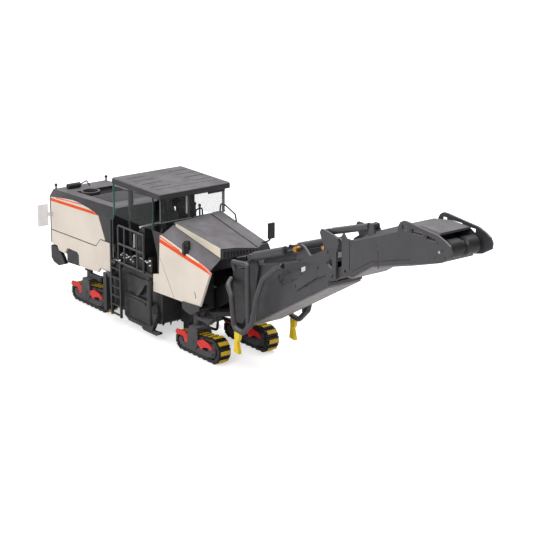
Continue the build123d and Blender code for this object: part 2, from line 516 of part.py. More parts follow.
side_plate += post(LIFT_X, -LIFT_Y, ROD_R, 9.0, 30.0) + box(LIFT_X - 1.2, LIFT_X + 1.2, -PLATE_OUT - 2.6,
                                                            -PLATE_IN - 0.4, 8.0, 10.4)
save("side_plate_right", side_plate)
save("side_plate_left", other_side(side_plate))

cylinder_mount = post(LIFT_X, -LIFT_Y, 1.55, 19.2, 34.2) - post(LIFT_X, -LIFT_Y, ROD_R + ROD_CLEARANCE, 10,
                                                                 32.4)
cylinder_mount += box(LIFT_X - 1.5, LIFT_X + 1.5, -LIFT_Y, -CHASSIS_HALF, 32.6, 34.2)
brace = side_outline([(-74.4, 21.8), (-66.4, 31.6), (-61.4, 34.2), (-59.0, 34.2), (-59.0, 32.6),
                      (-64.4, 29.6), (-71.0, 21.8)], -PLATE_OUT - 1.0, -HOUSING_HALF)
rear_post = box(-105.4, -102.2, -CHASSIS_HALF - 5.4, -CHASSIS_HALF - 2.8, 5.6, 27.6)
strut = side_outline([(-101.6, 27.6), (-98.8, 27.6), (-96.9, 7.0), (-98.9, 7.0)], -CHASSIS_HALF - 4.2,
                     -CHASSIS_HALF - 3.0)
bracket = box(-105.4, -97.5, -CHASSIS_HALF - 5.0, -CHASSIS_HALF, 26.0, 27.6)
save("side_mounts", *both(cylinder_mount + brace), *both(rear_post + strut + bracket))

# Primary conveyor, from the drum housing up through the chassis to the slewing joint.
primary = side_outline([(-50.6, 9.6), (-44.0, 9.6), (3.6, 38.2), (4.2, 40.6), (1.6, 45.4), (-1.0, 46.0),
                        (-50.6, 20.6)], -8.2, 8.2)
primary -= side_outline([(-52, 17.2), (-1.6, 44.0), (-1.0, 48.0), (-52, 23.0)], -7.2, 7.2)
save("primary_conveyor", primary)

handrail = tube([(-48.5, 17.2, 67.2), (-48.5, 18.0, 73.5), (-45.0, 18.0, 74.0), (-35.0, 18.0, 70.6),
                 (-33.6, 18.0, 66.0)], 0.45, 1.2)
save("handrails", *both(rail), handrail - front_hood)
near_mirror = box(-28.8, -26.4, -20.9, -18.2, 56.2, 63.2) + box(-28.2, -27.2, -20.4, -19.2, 54.8, 56.6)
far_arm = tube([(-6.4, 14.6, 58.6), (-6.4, 14.6, 61.2), (-4.5, 18.0, 62.4), (-4.5, 19.6, 64.0)], 0.45, 0.6)
far_mirror = box(-5.1, -3.9, 17.6, 21.6, 63.4, 72.0) + far_arm
SEAT_GAP = 0.03
save("front_mirrors", *[Pos(0, 0, SEAT_GAP) * (piece - front_hood) for piece in (near_mirror, far_mirror)])
paddle = box(-167.0, -165.8, -30.9, -24.2, 42.0, 55.0)
paddle_arm = box(-167.0, -165.4, -24.3, -SIDE_OUT, 47.6, 49.6)
save("rear_mirrors", *both(paddle + paddle_arm))

# Slewing frame between the two king pins, with cheeks for the conveyor's tail.
CHEEK_OUT_Y = CHEEK_IN_Y + CHEEK_THICKNESS
yoke_plan = [(SLEW_X - 3.6, -4.0), (SLEW_X + 2.0, -4.6), (4.6, -CHEEK_OUT_Y), (7.6, -CHEEK_OUT_Y),
             (7.6, CHEEK_OUT_Y), (4.6, CHEEK_OUT_Y), (SLEW_X + 2.0, 4.6), (SLEW_X - 3.6, 4.0)]
slew = plan_outline(yoke_plan, SLEW_TOP_Z - 2.4, SLEW_TOP_Z) + plan_outline(yoke_plan, TONGUE_Z + 0.6,
                                                                            TONGUE_Z + 3.0)
slew -= post(SLEW_X, 0, KING_PIN_R + PIN_CLEARANCE, 20, 60)
for side in (-1, 1):
    y0, y1 = sorted((side * CHEEK_IN_Y, side * CHEEK_OUT_Y))
    cheek = side_outline([(4.6, 26.0), (12.0, 26.0), (22.0, 38.0), (24.0, 46.0), (26.5, 60.0),
                          (24.6, 65.2), (23.4, 67.4), (21.4, 67.4), (19.6, 64.4), (16.0, 56.5),
                          (4.6, 54.8)], y0, y1)
    slew += cheek
    y2, y3 = sorted((side * (CONVEYOR_HALF - CONVEYOR_WALL), side * CHEEK_OUT_Y))
    slew += cross_rod(LUFF_X, LUFF_Z, 1.4, y2, y3)
    y4, y5 = sorted((side * CHEEK_IN_Y, side * (LUFF_CYLINDER_Y + 1.1)))
    slew += cross_rod(LUFF_BASE_X, LUFF_BASE_Z, 0.8, y4, y5)
save("slew_frame", slew)

LOOP_Z = 25.2
cage = tube([(4.0, -13.2, 49.0), (6.5, -17.4, 47.0), (11.5, -CAGE_Y, 41.6), (13.6, -CAGE_Y, LOOP_Z),
             (21.5, -CAGE_Y, LOOP_Z - 0.6), (29.2, -CAGE_Y, 32.0), (33.0, -CAGE_Y, 47.0),
             (38.0, -CAGE_Y, 58.0), (48.0, -CAGE_Y, 65.9), (54.0, -CAGE_Y, 69.0)], CAGE_R, 3.6)
drop = tube([(6.0, -12.2, 54.0), (6.0, -13.8, 58.8), (25.2, -CAGE_Y, 62.6), (26.0, -CAGE_Y, 30.0)],
            CAGE_R - 0.1, 1.5)
tubes = cage + drop - slew
save("guard_tubes", *both(tubes))
flap = side_outline([(15.0, 23.9), (19.4, 23.9), (18.6, 20.0), (17.2, 18.4), (19.0, 12.2), (14.4, 12.6),
                     (15.2, 18.6)], -CAGE_Y - 1.0, -CAGE_Y + 1.0)
save("sight_flaps", *both(flap - tubes))

# Lower conveyor: closed box with bevelled top edges, hopper at the tail, mouth at the head.
BELT_SLOPE = (71.1 - 33.8) / (93.7 - 29.5)


def under_z(x):
    """Height of the lower conveyor's bottom edge at x."""
    return 33.8 + BELT_SLOPE * (x - 29.5)


def bevelled(points, half, bevel, is_top):
    """Box section from an (x, z) outline, with its upper long edges bevelled."""
    body = side_outline(points, -half, half)
    edges = [edge for edge in body.edges() if abs(abs(edge.center().Y) - half) < 0.01 and is_top(edge)]
    return chamfer(edges, bevel)


TAIL_X = 13.0
LOWER_HEAD_X = 81.0
ROLLER_HALF = 9.6
lower_points = [(TAIL_X, under_z(TAIL_X) + 3), (15.0, under_z(15.0)),
                (LOWER_HEAD_X, under_z(LOWER_HEAD_X)), (LOWER_HEAD_X, 77.4), (76.8, 77.4), (22.1, 61.8),
                (16.4, 59.0), (TAIL_X, 55.0)]
lower = bevelled(lower_points, CONVEYOR_HALF, 1.5,
                 lambda edge: edge.center().Z > 60.0 and edge.center().X < 76.0 and edge.length > 10)
lower -= side_outline([(TAIL_X - 1, 31.0), (19.5, 33.0), (19.5, 48.0), (TAIL_X - 1, 51.0)], -ROLLER_HALF,
                      ROLLER_HALF)
LOWER_ROLLER_X, LOWER_ROLLER_Z, LOWER_ROLLER_R = 77.0, 67.4, 3.6
lower -= side_outline([(70.6, under_z(70.6) + 1.6), (82.0, under_z(82.0) + 1.6), (82.0, 75.4),
                       (76.0, 75.4), (70.6, 73.6)], -ROLLER_HALF, ROLLER_HALF)
for side in (-1, 1):
    y0, y1 = sorted((side * (CONVEYOR_HALF - CONVEYOR_WALL - 0.1), side * (CONVEYOR_HALF + 1)))
    lower -= cross_rod(LUFF_X, LUFF_Z, 1.4 + PIN_CLEARANCE, y0, y1)
save("lower_conveyor_frame", lower)
belt_half = CONVEYOR_HALF - 0.8
low_run = side_outline([(17.0, under_z(17.0) - 1.0), (80.8, under_z(80.8) - 1.0), (80.8, under_z(80.8)),
                        (17.0, under_z(17.0))], -belt_half, belt_half)
low_roller = cross_rod(LOWER_ROLLER_X, LOWER_ROLLER_Z, LOWER_ROLLER_R, -9.0, 9.0)
low_roller += cross_rod(LOWER_ROLLER_X, LOWER_ROLLER_Z, 1.2, -ROLLER_HALF, ROLLER_HALF)
save("lower_belt", low_run, low_roller)

BRACKET_OUT = CONVEYOR_HALF + BRACKET_THICKNESS
bracket_points = [(54.4, 57.2), (55.2, 55.8), (57.2, 55.6), (73.0, 66.4), (80.6, 69.6), (82.4, 68.0),
                  (84.7, 67.4), (87.2, 68.8), (88.0, 71.6), (88.2, 83.0), (90.0, 88.0), (89.2, 90.2),
                  (86.4, 91.0), (79.4, 92.2), (76.4, 92.2), (75.4, 90.4), (76.4, 88.2), (79.6, 82.6),
                  (60.6, 72.6), (60.2, 71.0), (69.6, 73.0), (68.6, 70.6), (55.2, 59.8)]
window = [(80.7, 75.7), (85.0, 73.9), (85.2, 81.3)]
bracket_plate = side_outline(bracket_points, -BRACKET_OUT, -CONVEYOR_HALF) - side_outline(window, -30, 0)
bracket_plate += cross_rod(FOLD_X, FOLD_Z, 1.3, -CONVEYOR_HALF, -9.4)
luff_lug = side_outline([(LUFF_EYE_X - 3.6, 72.0), (LUFF_EYE_X + 8.4, 75.6),
                         (LUFF_EYE_X + 2.8, LUFF_EYE_Z + 1.2), (LUFF_EYE_X, LUFF_EYE_Z + 1.9),
                         (LUFF_EYE_X - 2.0, LUFF_EYE_Z + 0.2)], -BRACKET_OUT, -CONVEYOR_HALF)
bracket_plate += luff_lug + cross_rod(LUFF_EYE_X, LUFF_EYE_Z, 0.9, -LUFF_CYLINDER_Y + 1.2, -BRACKET_OUT)
for rivet_x, rivet_z in ((56.0, 57.9), (73.4, 71.8), (84.7, 70.4), (80.9, 81.8)):
    bracket_plate += cross_rod(rivet_x, rivet_z, 1.1, -BRACKET_OUT - 0.35, -BRACKET_OUT)
fold_pin = cross_rod(FOLD_BASE_X, FOLD_BASE_Z, 0.8, -CONVEYOR_HALF, -FOLD_CYLINDER_Y + 1.1)
save("fold_brackets", bracket_plate + fold_pin, other_side(bracket_plate))

# Luffing and folding cylinders: the barrel turns on its pin, the rod ends at an eye.
LUFF_ANGLE = degrees(atan2(LUFF_EYE_Z - LUFF_BASE_Z, LUFF_EYE_X - LUFF_BASE_X))
LUFF_LENGTH = hypot(LUFF_EYE_Z - LUFF_BASE_Z, LUFF_EYE_X - LUFF_BASE_X)
FOLD_ANGLE = degrees(atan2(FOLD_EYE_Z - FOLD_BASE_Z, FOLD_EYE_X - FOLD_BASE_X))
FOLD_LENGTH = hypot(FOLD_EYE_Z - FOLD_BASE_Z, FOLD_EYE_X - FOLD_BASE_X)
EYE_HALF = 1.0
EYE_R = 1.6


def along_x(radius, x0, x1):
    return Pos((x0 + x1) / 2, 0, 0) * Rot(0, 90, 0) * Cylinder(radius, x1 - x0)


def make_barrel(length, barrel_r):
    barrel = Rot(90, 0, 0) * Cylinder(EYE_R, 2 * EYE_HALF)
    foot = barrel_r + 2.0
    barrel += box(0.5, foot + 0.6, -EYE_HALF, EYE_HALF, -1.2, 1.2) + along_x(barrel_r, foot, length)
    barrel += along_x(barrel_r + 0.1, length - 2.0, length)
    barrel -= Rot(90, 0, 0) * Cylinder(0.8 + PIN_CLEARANCE, 4)
    return barrel - along_x(ROD_R + ROD_CLEARANCE, foot + 0.8, length + 1)


def make_rod(start, length):
    return along_x(ROD_R, start, length - 1.0) + Pos(length, 0, 0) * Rot(90, 0, 0) * Cylinder(EYE_R,
                                                                                              2 * EYE_HALF)


luff_frame = aimed(LUFF_BASE_X, -LUFF_CYLINDER_Y, LUFF_BASE_Z, LUFF_ANGLE)
save("luff_barrels", *both(luff_frame * make_barrel(LUFF_BARREL_LENGTH, LUFF_BARREL_R)))
rivet = Pos(LUFF_LENGTH, -EYE_HALF - 0.3, 0) * Rot(90, 0, 0) * Cylinder(1.35, 0.8)
save("luff_rods", *both(luff_frame * (make_rod(8.6, LUFF_LENGTH) + rivet)))
fold_frame = aimed(FOLD_BASE_X, -FOLD_CYLINDER_Y, FOLD_BASE_Z, FOLD_ANGLE)
save("fold_barrels", fold_frame * make_barrel(FOLD_BARREL_LENGTH, FOLD_BARREL_R))
save("fold_rods", fold_frame * make_rod(4.8, FOLD_LENGTH))

# Upper conveyor: arched box, slotted for the folding cylinders, open at the discharge end.
UPPER_REAR_X = 94.0
upper_points = [(95.8, 72.9), (99.0, 73.2), (112.9, 82.0), (141.3, 90.0), (158.6, 95.3), (158.6, 100.4),
                (157.4, 108.0), (146.0, 108.6), (133.6, 106.8), (114.5, 99.4), (98.4, 93.4),
                (UPPER_REAR_X, 90.6)]


def is_upper_top(edge):
    middle = edge.center()
    return middle.Z > 91.5 and middle.Z > 82 + 0.31 * (middle.X - 94) and edge.length > 8.0


upper = bevelled(upper_points, UPPER_HALF, 2.6, is_upper_top)
upper -= side_outline([(90.0, 75.5), (100.0, 76.5), (100.0, 90.5), (90.0, 88.0)], -ROLLER_HALF, ROLLER_HALF)
upper -= side_outline([(147.0, 93.6), (165.0, 98.8), (165.0, 106.8), (147.0, 107.2)], -ROLLER_HALF,
                      ROLLER_HALF)
rear_wall = side_outline([(91.8, 72.8), (91.2, 92.0), (92.4, 93.6), (94.6, 91.4), (99.0, 91.4),
                          (99.0, 74.0), (96.0, 72.9)], -UPPER_HALF, -UPPER_HALF + 0.9)
rear_wall -= cross_rod(94.4, 74.8, 0.8, -20, 20)
upper += rear_wall + other_side(rear_wall)
LUG_X = (FOLD_EYE_X - 2.4, FOLD_EYE_X + 2.4)
# The slot's floor runs beside the rod when the conveyor hangs folded at a right angle.
SLOT_X0, SLOT_X1 = FOLD_X + 7.3, FOLD_EYE_X - 3.1
SLOT_HALF = 2.15
SLOT_RUN = FOLD_EYE_X - FOLD_X + FOLD_BASE_Z - FOLD_Z
SLOT_SLOPE = (FOLD_EYE_Z - FOLD_Z + FOLD_X - FOLD_BASE_X) / SLOT_RUN
SLOT_Z1 = FOLD_EYE_Z - SLOT_SLOPE * (FOLD_EYE_X - SLOT_X1) - (ROD_R + 0.6) * hypot(1, SLOT_SLOPE)
upper -= side_outline([(SLOT_X0, SLOT_Z1 - SLOT_SLOPE * (SLOT_X1 - SLOT_X0)), (SLOT_X1, SLOT_Z1),
                       (SLOT_X1, SLOT_Z1 + 8.0), (SLOT_X0, SLOT_Z1 + 8.0)], -FOLD_CYLINDER_Y - SLOT_HALF,
                      -FOLD_CYLINDER_Y + SLOT_HALF)
for lug_y in (-FOLD_CYLINDER_Y - EYE_HALF - 1.0, -FOLD_CYLINDER_Y + EYE_HALF + 0.2):
    upper += side_outline([(LUG_X[0], 96.4), (LUG_X[1], 97.4), (FOLD_EYE_X + 1.4, FOLD_EYE_Z + 1.4),
                           (FOLD_EYE_X - 1.4, FOLD_EYE_Z + 1.4)], lug_y, lug_y + 0.8)
for side in (-1, 1):
    ear_in, ear_out = sorted((side * 9.5, side * 10.7))
    ear = upright(Pos(FOLD_X, FOLD_Z) * Circle(2.9), ear_in, ear_out)
    ear += side_outline([(FOLD_X - 0.4, FOLD_Z - 2.85), (98.0, 74.4), (98.0, 80.0),
                         (FOLD_X - 0.8, FOLD_Z + 2.75)], ear_in, ear_out)
    upper = upper + ear - cross_rod(FOLD_X, FOLD_Z, 1.3 + PIN_CLEARANCE, -20, 20)
save("upper_conveyor_frame", upper)

belt_points = [(95.8, 72.9), (99.0, 73.2), (112.9, 82.0), (141.3, 90.0), (158.6, 95.3)]
band = [(x, z - 1.0) for x, z in belt_points]
save("upper_belt", side_outline(belt_points + band[::-1], -UPPER_HALF + 0.8, UPPER_HALF - 0.8))
roller = cross_rod(HEAD_X, HEAD_Z, HEAD_ROLLER_R - 1.2, -9.2, 9.2)
for y0, y1 in ((-9.2, -0.9), (0.9, 9.2)):
    lobe = cross_rod(HEAD_X, HEAD_Z, HEAD_ROLLER_R, y0, y1)
    roller += chamfer(lobe.edges().filter_by(GeomType.CIRCLE), 0.9)
roller += cross_rod(HEAD_X, HEAD_Z, 1.2, -HEAD_PLATE_IN_Y, HEAD_PLATE_IN_Y)
save("head_roller", roller)

head_points = [(132.8, 103.6), (133.2, 106.6), (134.4, 108.6), (136.4, 109.8), (138.7, 109.9),
               (160.0, 107.9), (165.0, 106.2), (167.8, 104.6), (169.2, 102.2), (168.9, 99.4),
               (162.8, 95.9), (155.7, 94.2), (150.0, 92.4), (142.0, 90.6), (142.0, 100.0)]
head = side_outline(head_points, -HEAD_PLATE_IN_Y - 1.0, -HEAD_PLATE_IN_Y)
head += box(136.0, 156.0, -HEAD_PLATE_IN_Y, -UPPER_HALF, 95.0, 103.0)
for x0, x1, z0, z1 in ((135.8, 139.2, 105.4, 107.8), (142.4, 149.4, 105.2, 107.4),
                       (152.4, 158.2, 104.6, 106.6)):
    head -= box(x0, x1, -20, 0, z0, z1)
save("head_plates", *both(head))
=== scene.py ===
# %% [markdown]
# A cold planer, as a small display model, dressed for its studio photograph. The packed
# solids come in first and stay where they are, because the joints and the physics rely on
# them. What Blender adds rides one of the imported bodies, so it moves when that body moves.
# Lengths are in millimetres, apart from the lamps' and the floor's, and MM makes them metres.

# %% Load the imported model
import math

import bmesh
import bpy
from mathutils import Matrix, Vector


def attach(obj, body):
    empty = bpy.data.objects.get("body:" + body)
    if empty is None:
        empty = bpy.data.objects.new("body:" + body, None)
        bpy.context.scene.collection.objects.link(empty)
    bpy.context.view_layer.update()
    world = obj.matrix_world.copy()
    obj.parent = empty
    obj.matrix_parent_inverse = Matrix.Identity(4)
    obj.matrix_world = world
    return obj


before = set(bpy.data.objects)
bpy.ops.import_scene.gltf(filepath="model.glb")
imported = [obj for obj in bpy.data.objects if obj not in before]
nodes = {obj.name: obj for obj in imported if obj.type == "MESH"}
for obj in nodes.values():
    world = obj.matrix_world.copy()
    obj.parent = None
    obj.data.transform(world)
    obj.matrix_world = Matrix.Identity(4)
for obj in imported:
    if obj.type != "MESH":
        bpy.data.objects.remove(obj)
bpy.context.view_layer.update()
MM = 0.001

# %% [markdown]
# The photograph was taken from in front and to the right of the machine, a little above it.
# A camera could be placed by eye, but this one was fitted to the photograph, so that the
# model's points fall where they lie in it. Its picture is square.

# %% Camera
AZIMUTH, ELEVATION, ROLL = math.radians(52.5), math.radians(16.9), math.radians(0.28)
TARGET = Vector((17.0, 0.0, 56.4)) * MM
DISTANCE = 901.2 * MM
SENSOR = 36.0
LENS_PER_SENSOR = 1721.0 / 533.0

flat = math.cos(ELEVATION)
back = Vector((math.sin(AZIMUTH) * flat, -math.cos(AZIMUTH) * flat, math.sin(ELEVATION)))
level = Vector((math.cos(AZIMUTH), math.sin(AZIMUTH), 0.0))
upright = back.cross(level)
right = level * math.cos(ROLL) + upright * math.sin(ROLL)
up = back.cross(right)
camera_data = bpy.data.cameras.new("camera")
camera_data.sensor_width = SENSOR
camera_data.lens = SENSOR * LENS_PER_SENSOR
camera_data.clip_start = 0.01
camera_data.clip_end = 20.0
camera = bpy.data.objects.new("camera", camera_data)
bpy.context.scene.collection.objects.link(camera)
turn = Matrix((right, up, back)).transposed().to_4x4()
camera.matrix_world = Matrix.Translation(TARGET + back * DISTANCE) @ turn
bpy.context.scene.camera = camera
print("camera at mm", [round(v / MM) for v in camera.location])

# %% [markdown]
# Paint, plastic and metal are node trees. They could be wired line by line, but that hides
# the idea behind the wiring. This small builder takes values and sockets, and each call
# returns the socket that comes out, so a tree reads like a sum.


# %% Shader helpers
class Tree:
    """Adds nodes to one shader tree and wires them."""

    def __init__(self, tree):
        self.tree = tree
        self.column = 0

    def node(self, kind, **settings):
        made = self.tree.nodes.new(kind)
        made.location = (180 * self.column, -40 * (self.column % 5))
        self.column += 1
        for key, value in settings.items():
            setattr(made, key, value)
        return made

    def feed(self, socket, value):
        if isinstance(value, bpy.types.NodeSocket):
            self.tree.links.new(value, socket)
        elif socket.type == "RGBA" and len(value) == 3:
            socket.default_value = (*value, 1.0)
        else:
            socket.default_value = value

    def math(self, operation, a, b=0.0, c=0.0):
        made = self.node("ShaderNodeMath", operation=operation)
        for socket, value in zip(made.inputs, (a, b, c)):
            self.feed(socket, value)
        return made.outputs[0]

    def mix(self, share, a, b):
        made = self.node("ShaderNodeMix", data_type="RGBA")
        self.feed(made.inputs["Factor"], share)
        self.feed(made.inputs[6], a)
        self.feed(made.inputs[7], b)
        return made.outputs[2]

    def noise(self, vector, scale, detail=3.0, roughness=0.5):
        made = self.node("ShaderNodeTexNoise")
        self.feed(made.inputs["Vector"], vector)
        made.inputs["Scale"].default_value = scale
        made.inputs["Detail"].default_value = detail
        made.inputs["Roughness"].default_value = roughness
        return made.outputs["Fac"]

    def place(self):
        """Position on the resting machine, in metres."""
        return self.node("ShaderNodeTexCoord").outputs["Object"]

    def split(self, vector):
        made = self.node("ShaderNodeSeparateXYZ")
        self.feed(made.inputs[0], vector)
        return made.outputs

    def ramp(self, value, low, high, to_low=0.0, to_high=1.0):
        made = self.node("ShaderNodeMapRange", interpolation_type="SMOOTHSTEP")
        self.feed(made.inputs["Value"], value)
        ends = (("From Min", low), ("From Max", high), ("To Min", to_low), ("To Max", to_high))
        for name, number in ends:
            made.inputs[name].default_value = number
        return made.outputs["Result"]

    def bump(self, height, distance, strength=1.0):
        made = self.node("ShaderNodeBump")
        self.feed(made.inputs["Height"], height)
        made.inputs["Distance"].default_value = distance
        made.inputs["Strength"].default_value = strength
        return made.outputs["Normal"]

    def group(self, shared, **values):
        made = self.node("ShaderNodeGroup", node_tree=shared)
        for name, value in values.items():
            self.feed(made.inputs[name], value)
        return made.outputs


def new_group(name, inputs, outputs):
    """A shared node group with named inputs and outputs."""
    shared = bpy.data.node_groups.new(name, "ShaderNodeTree")
    for label, kind in inputs:
        shared.interface.new_socket(name=label, in_out="INPUT", socket_type=kind)
    for label, kind in outputs:
        shared.interface.new_socket(name=label, in_out="OUTPUT", socket_type=kind)
    tree = Tree(shared)
    return shared, tree, tree.node("NodeGroupInput").outputs, tree.node("NodeGroupOutput").inputs


FLOAT, COLOUR, VECTOR = "NodeSocketFloat", "NodeSocketColor", "NodeSocketVector"
SKIN = [("Colour", COLOUR), ("Roughness", FLOAT), ("Normal", VECTOR)]
print("a skin puts out:", [label for label, kind in SKIN])

# %% [markdown]
# The body is sprayed metal. On the model its upper faces look paler than its sides, partly
# from dust and partly from the studio's light. The paint could be one flat colour, but then
# the forms look cut from paper. So this group lets the tone drift slowly, gives faces that
# look up a paler colour, part dust and part painted light, and adds a fine orange peel.
# Several paints share it.

# %% Sprayed skin
sprayed, tree, given, result = new_group("sprayed_skin", [("Colour", COLOUR), ("Dust", COLOUR)], SKIN)
place = tree.place()
drift = tree.noise(place, 26.0, 4.0, 0.6)
facing = tree.split(tree.node("ShaderNodeNewGeometry").outputs["Normal"])[2]
patches = tree.ramp(tree.noise(place, 90.0, 5.0, 0.65), 0.25, 0.8, 0.26, 0.46)
# Faces that look up take the second colour: part dust, part painted light from above.
dust_and_light_share = tree.math("MULTIPLY", tree.ramp(facing, 0.35, 1.0), patches)
toned = tree.mix(tree.ramp(drift, 0.3, 0.7, 0.0, 0.14), given["Colour"], (0.0, 0.0, 0.0))
tree.feed(result["Colour"], tree.mix(dust_and_light_share, toned, given["Dust"]))
tree.feed(result["Roughness"], tree.ramp(tree.noise(place, 160.0, 3.0), 0.3, 0.7, 0.38, 0.52))
peel = tree.noise(place, 2600.0, 2.0)
tree.feed(result["Normal"], tree.bump(peel, 0.00002, 0.5))
print("group:", sprayed.name)

# %% [markdown]
# The cream panels carry orange stripes that follow their upper edge. A stripe could be a
# thin solid, but on the model it is printed, with no thickness. This group gives a mask for
# one straight band on a side panel: it starts at X and Z, climbs with Slope, lies from Low
# to High above that line, and runs from From to To along the machine.

# %% Band on a side panel
BAND = ("X", "Z", "Slope", "Low", "High", "From", "To")
band, tree, given, result = new_group("side_band", [(label, FLOAT) for label in BAND], [("Mask", FLOAT)])
place = tree.split(tree.place())
run = tree.math("SUBTRACT", place[0], given["X"])
line = tree.math("MULTIPLY_ADD", run, given["Slope"], given["Z"])
above = tree.math("SUBTRACT", place[2], line)
over = tree.math("GREATER_THAN", above, given["Low"])
under = tree.math("LESS_THAN", above, given["High"])
begun = tree.math("GREATER_THAN", place[0], given["From"])
unended = tree.math("LESS_THAN", place[0], given["To"])
inside = tree.math("MULTIPLY", over, under)
along = tree.math("MULTIPLY", begun, unended)
tree.feed(result["Mask"], tree.math("MULTIPLY", inside, along))
print("group:", band.name)

# %% [markdown]
# The track pads are painted yellow on their outer face only, and the track between and
# under them is black. Faces could be picked in the mesh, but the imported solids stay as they
# are. So this group measures how far a point lies outside the line round the two wheels. A
# track is a belt over a small rear wheel and a larger front one, so that line's radius
# grows from the one to the other.

# %% Track pads
# Each wheel: place ahead of the track's column, height of its axle, radius.
REAR_WHEEL, FRONT_WHEEL = (-9.8, 5.6, 5.6), (19.0, 7.4, 7.4)
pads, tree, given, result = new_group(
    "track_pads", [(label, FLOAT) for label in ("Column", "Row", "Rise", "Width")], [("Mask", FLOAT)])
span = math.hypot(FRONT_WHEEL[0] - REAR_WHEEL[0], FRONT_WHEEL[1] - REAR_WHEEL[1])
run_x = (FRONT_WHEEL[0] - REAR_WHEEL[0]) / span
run_z = (FRONT_WHEEL[1] - REAR_WHEEL[1]) / span
place = tree.split(tree.place())
local_x = tree.math("SUBTRACT", tree.math("SUBTRACT", place[0], given["Column"]), REAR_WHEEL[0] * MM)
local_z = tree.math("SUBTRACT", place[2], REAR_WHEEL[1] * MM)
along = tree.math("MULTIPLY_ADD", local_x, run_x, tree.math("MULTIPLY", local_z, run_z))
along = tree.math("MINIMUM", tree.math("MAXIMUM", along, 0.0), span * MM)
off_x = tree.math("SUBTRACT", local_x, tree.math("MULTIPLY", along, run_x))
off_z = tree.math("SUBTRACT", local_z, tree.math("MULTIPLY", along, run_z))
square = tree.math("MULTIPLY_ADD", off_x, off_x, tree.math("MULTIPLY", off_z, off_z))
away = tree.math("SQRT", square)
growth = (FRONT_WHEEL[2] - REAR_WHEEL[2]) / span
radius = tree.math("MULTIPLY_ADD", along, growth, REAR_WHEEL[2] * MM)
outside = tree.math("GREATER_THAN", tree.math("SUBTRACT", away, radius), given["Rise"])
across = tree.math("ABSOLUTE", tree.math("SUBTRACT", place[1], given["Row"]))
tree.feed(result["Mask"], tree.math("MULTIPLY", outside, tree.math("LESS_THAN", across, given["Width"])))
print("group:", pads.name, "span in mm:", round(span, 2))

# %% [markdown]
# The guards, tags, labels and small dark parts are moulded plastic: softer than paint, with
# a cloudy tone and a grain that takes the shine off. Each could have its own tree, but then
# a change to the grain has to be made many times, so they share this group.

# %% Moulded skin
moulded, tree, given, result = new_group("moulded_skin", [("Colour", COLOUR)], SKIN)
place = tree.place()
cloud = tree.ramp(tree.noise(place, 60.0, 4.0), 0.3, 0.75, 0.0, 0.16)
tree.feed(result["Colour"], tree.mix(cloud, given["Colour"], (0.02, 0.02, 0.02)))
tree.feed(result["Roughness"], tree.ramp(tree.noise(place, 300.0, 2.0), 0.3, 0.7, 0.42, 0.6))
tree.feed(result["Normal"], tree.bump(tree.noise(place, 1800.0, 3.0), 0.00004, 0.5))
print("shared groups:", [g.name for g in bpy.data.node_groups])

# %% [markdown]
# Every material starts as one Principled shader, and the shared skins feed its colour,
# roughness and normal. A value that is the same everywhere is set on the shader itself.


# %% Material helpers
def new_material(name):
    made = bpy.data.materials.new(name)
    made.use_nodes = True
    made.node_tree.nodes.clear()
    tree = Tree(made.node_tree)
    shader = tree.node("ShaderNodeBsdfPrincipled")
    output = tree.node("ShaderNodeOutputMaterial")
    tree.tree.links.new(shader.outputs[0], output.inputs[0])
    return made, tree, shader


def wear(tree, shader, skin, **values):
    """Feed one of the shared skins into a shader."""
    out = tree.group(skin, **values)
    tree.feed(shader.inputs["Base Color"], out["Colour"])
    tree.feed(shader.inputs["Roughness"], out["Roughness"])
    tree.feed(shader.inputs["Normal"], out["Normal"])


def painted(name, colour, dust_and_light):
    """Sprayed paint with its own paler colour for upward faces, part dust and part painted light."""
    made, tree, shader = new_material(name)
    wear(tree, shader, sprayed, Colour=colour, Dust=dust_and_light)
    return made


def plastic(name, colour, coat=0.0):
    """Moulded plastic, with a thin clear coat where it is bright."""
    made, tree, shader = new_material(name)
    wear(tree, shader, moulded, Colour=colour)
    shader.inputs["Coat Weight"].default_value = coat
    shader.inputs["Coat Roughness"].default_value = 0.25
    return made


def striped(name, bands):
    """Cream panel with orange bands; each row has the columns of BAND, in mm."""
    made, tree, shader = new_material(name)
    mask = 0.0
    for row in bands:
        numbers = [v if label == "Slope" else v * MM for label, v in zip(BAND, row)]
        mask = tree.math("MAXIMUM", mask, tree.group(band, **dict(zip(BAND, numbers)))["Mask"])
    wear(tree, shader, sprayed, Colour=tree.mix(mask, CREAM, ORANGE), Dust=CREAM_DUST_AND_LIGHT)
    shader.inputs["Specular IOR Level"].default_value = 0.25
    return made


def brushed(tree, shader, streak, colour, rough):
    """Bare metal with fine streaks."""
    tree.feed(shader.inputs["Base Color"], colour)
    tree.feed(shader.inputs["Roughness"], tree.ramp(streak, 0.3, 0.7, rough, rough + 0.12))
    tree.feed(shader.inputs["Normal"], tree.bump(streak, 0.00002, 0.4))
    shader.inputs["Metallic"].default_value = 1.0


def plain_metal(name, colour, rough, scale):
    """One bare metal all over."""
    made, tree, shader = new_material(name)
    streak = tree.noise(tree.place(), scale, 4.0)
    dark = tuple(v * 0.7 for v in colour)
    brushed(tree, shader, streak, tree.mix(tree.ramp(streak, 0.3, 0.7), dark, colour), rough)
    return made


print("material makers: painted, plastic, striped, plain_metal")

# %% [markdown]
# The finishes in plain words: cream panels, orange stripes, dark grey castings, near-black
# fittings, red track guards, yellow tags, grey belts, steel and brass. Colours are linear.
# Two greys do most of the work: the hoods are darker on their sides than the conveyors.

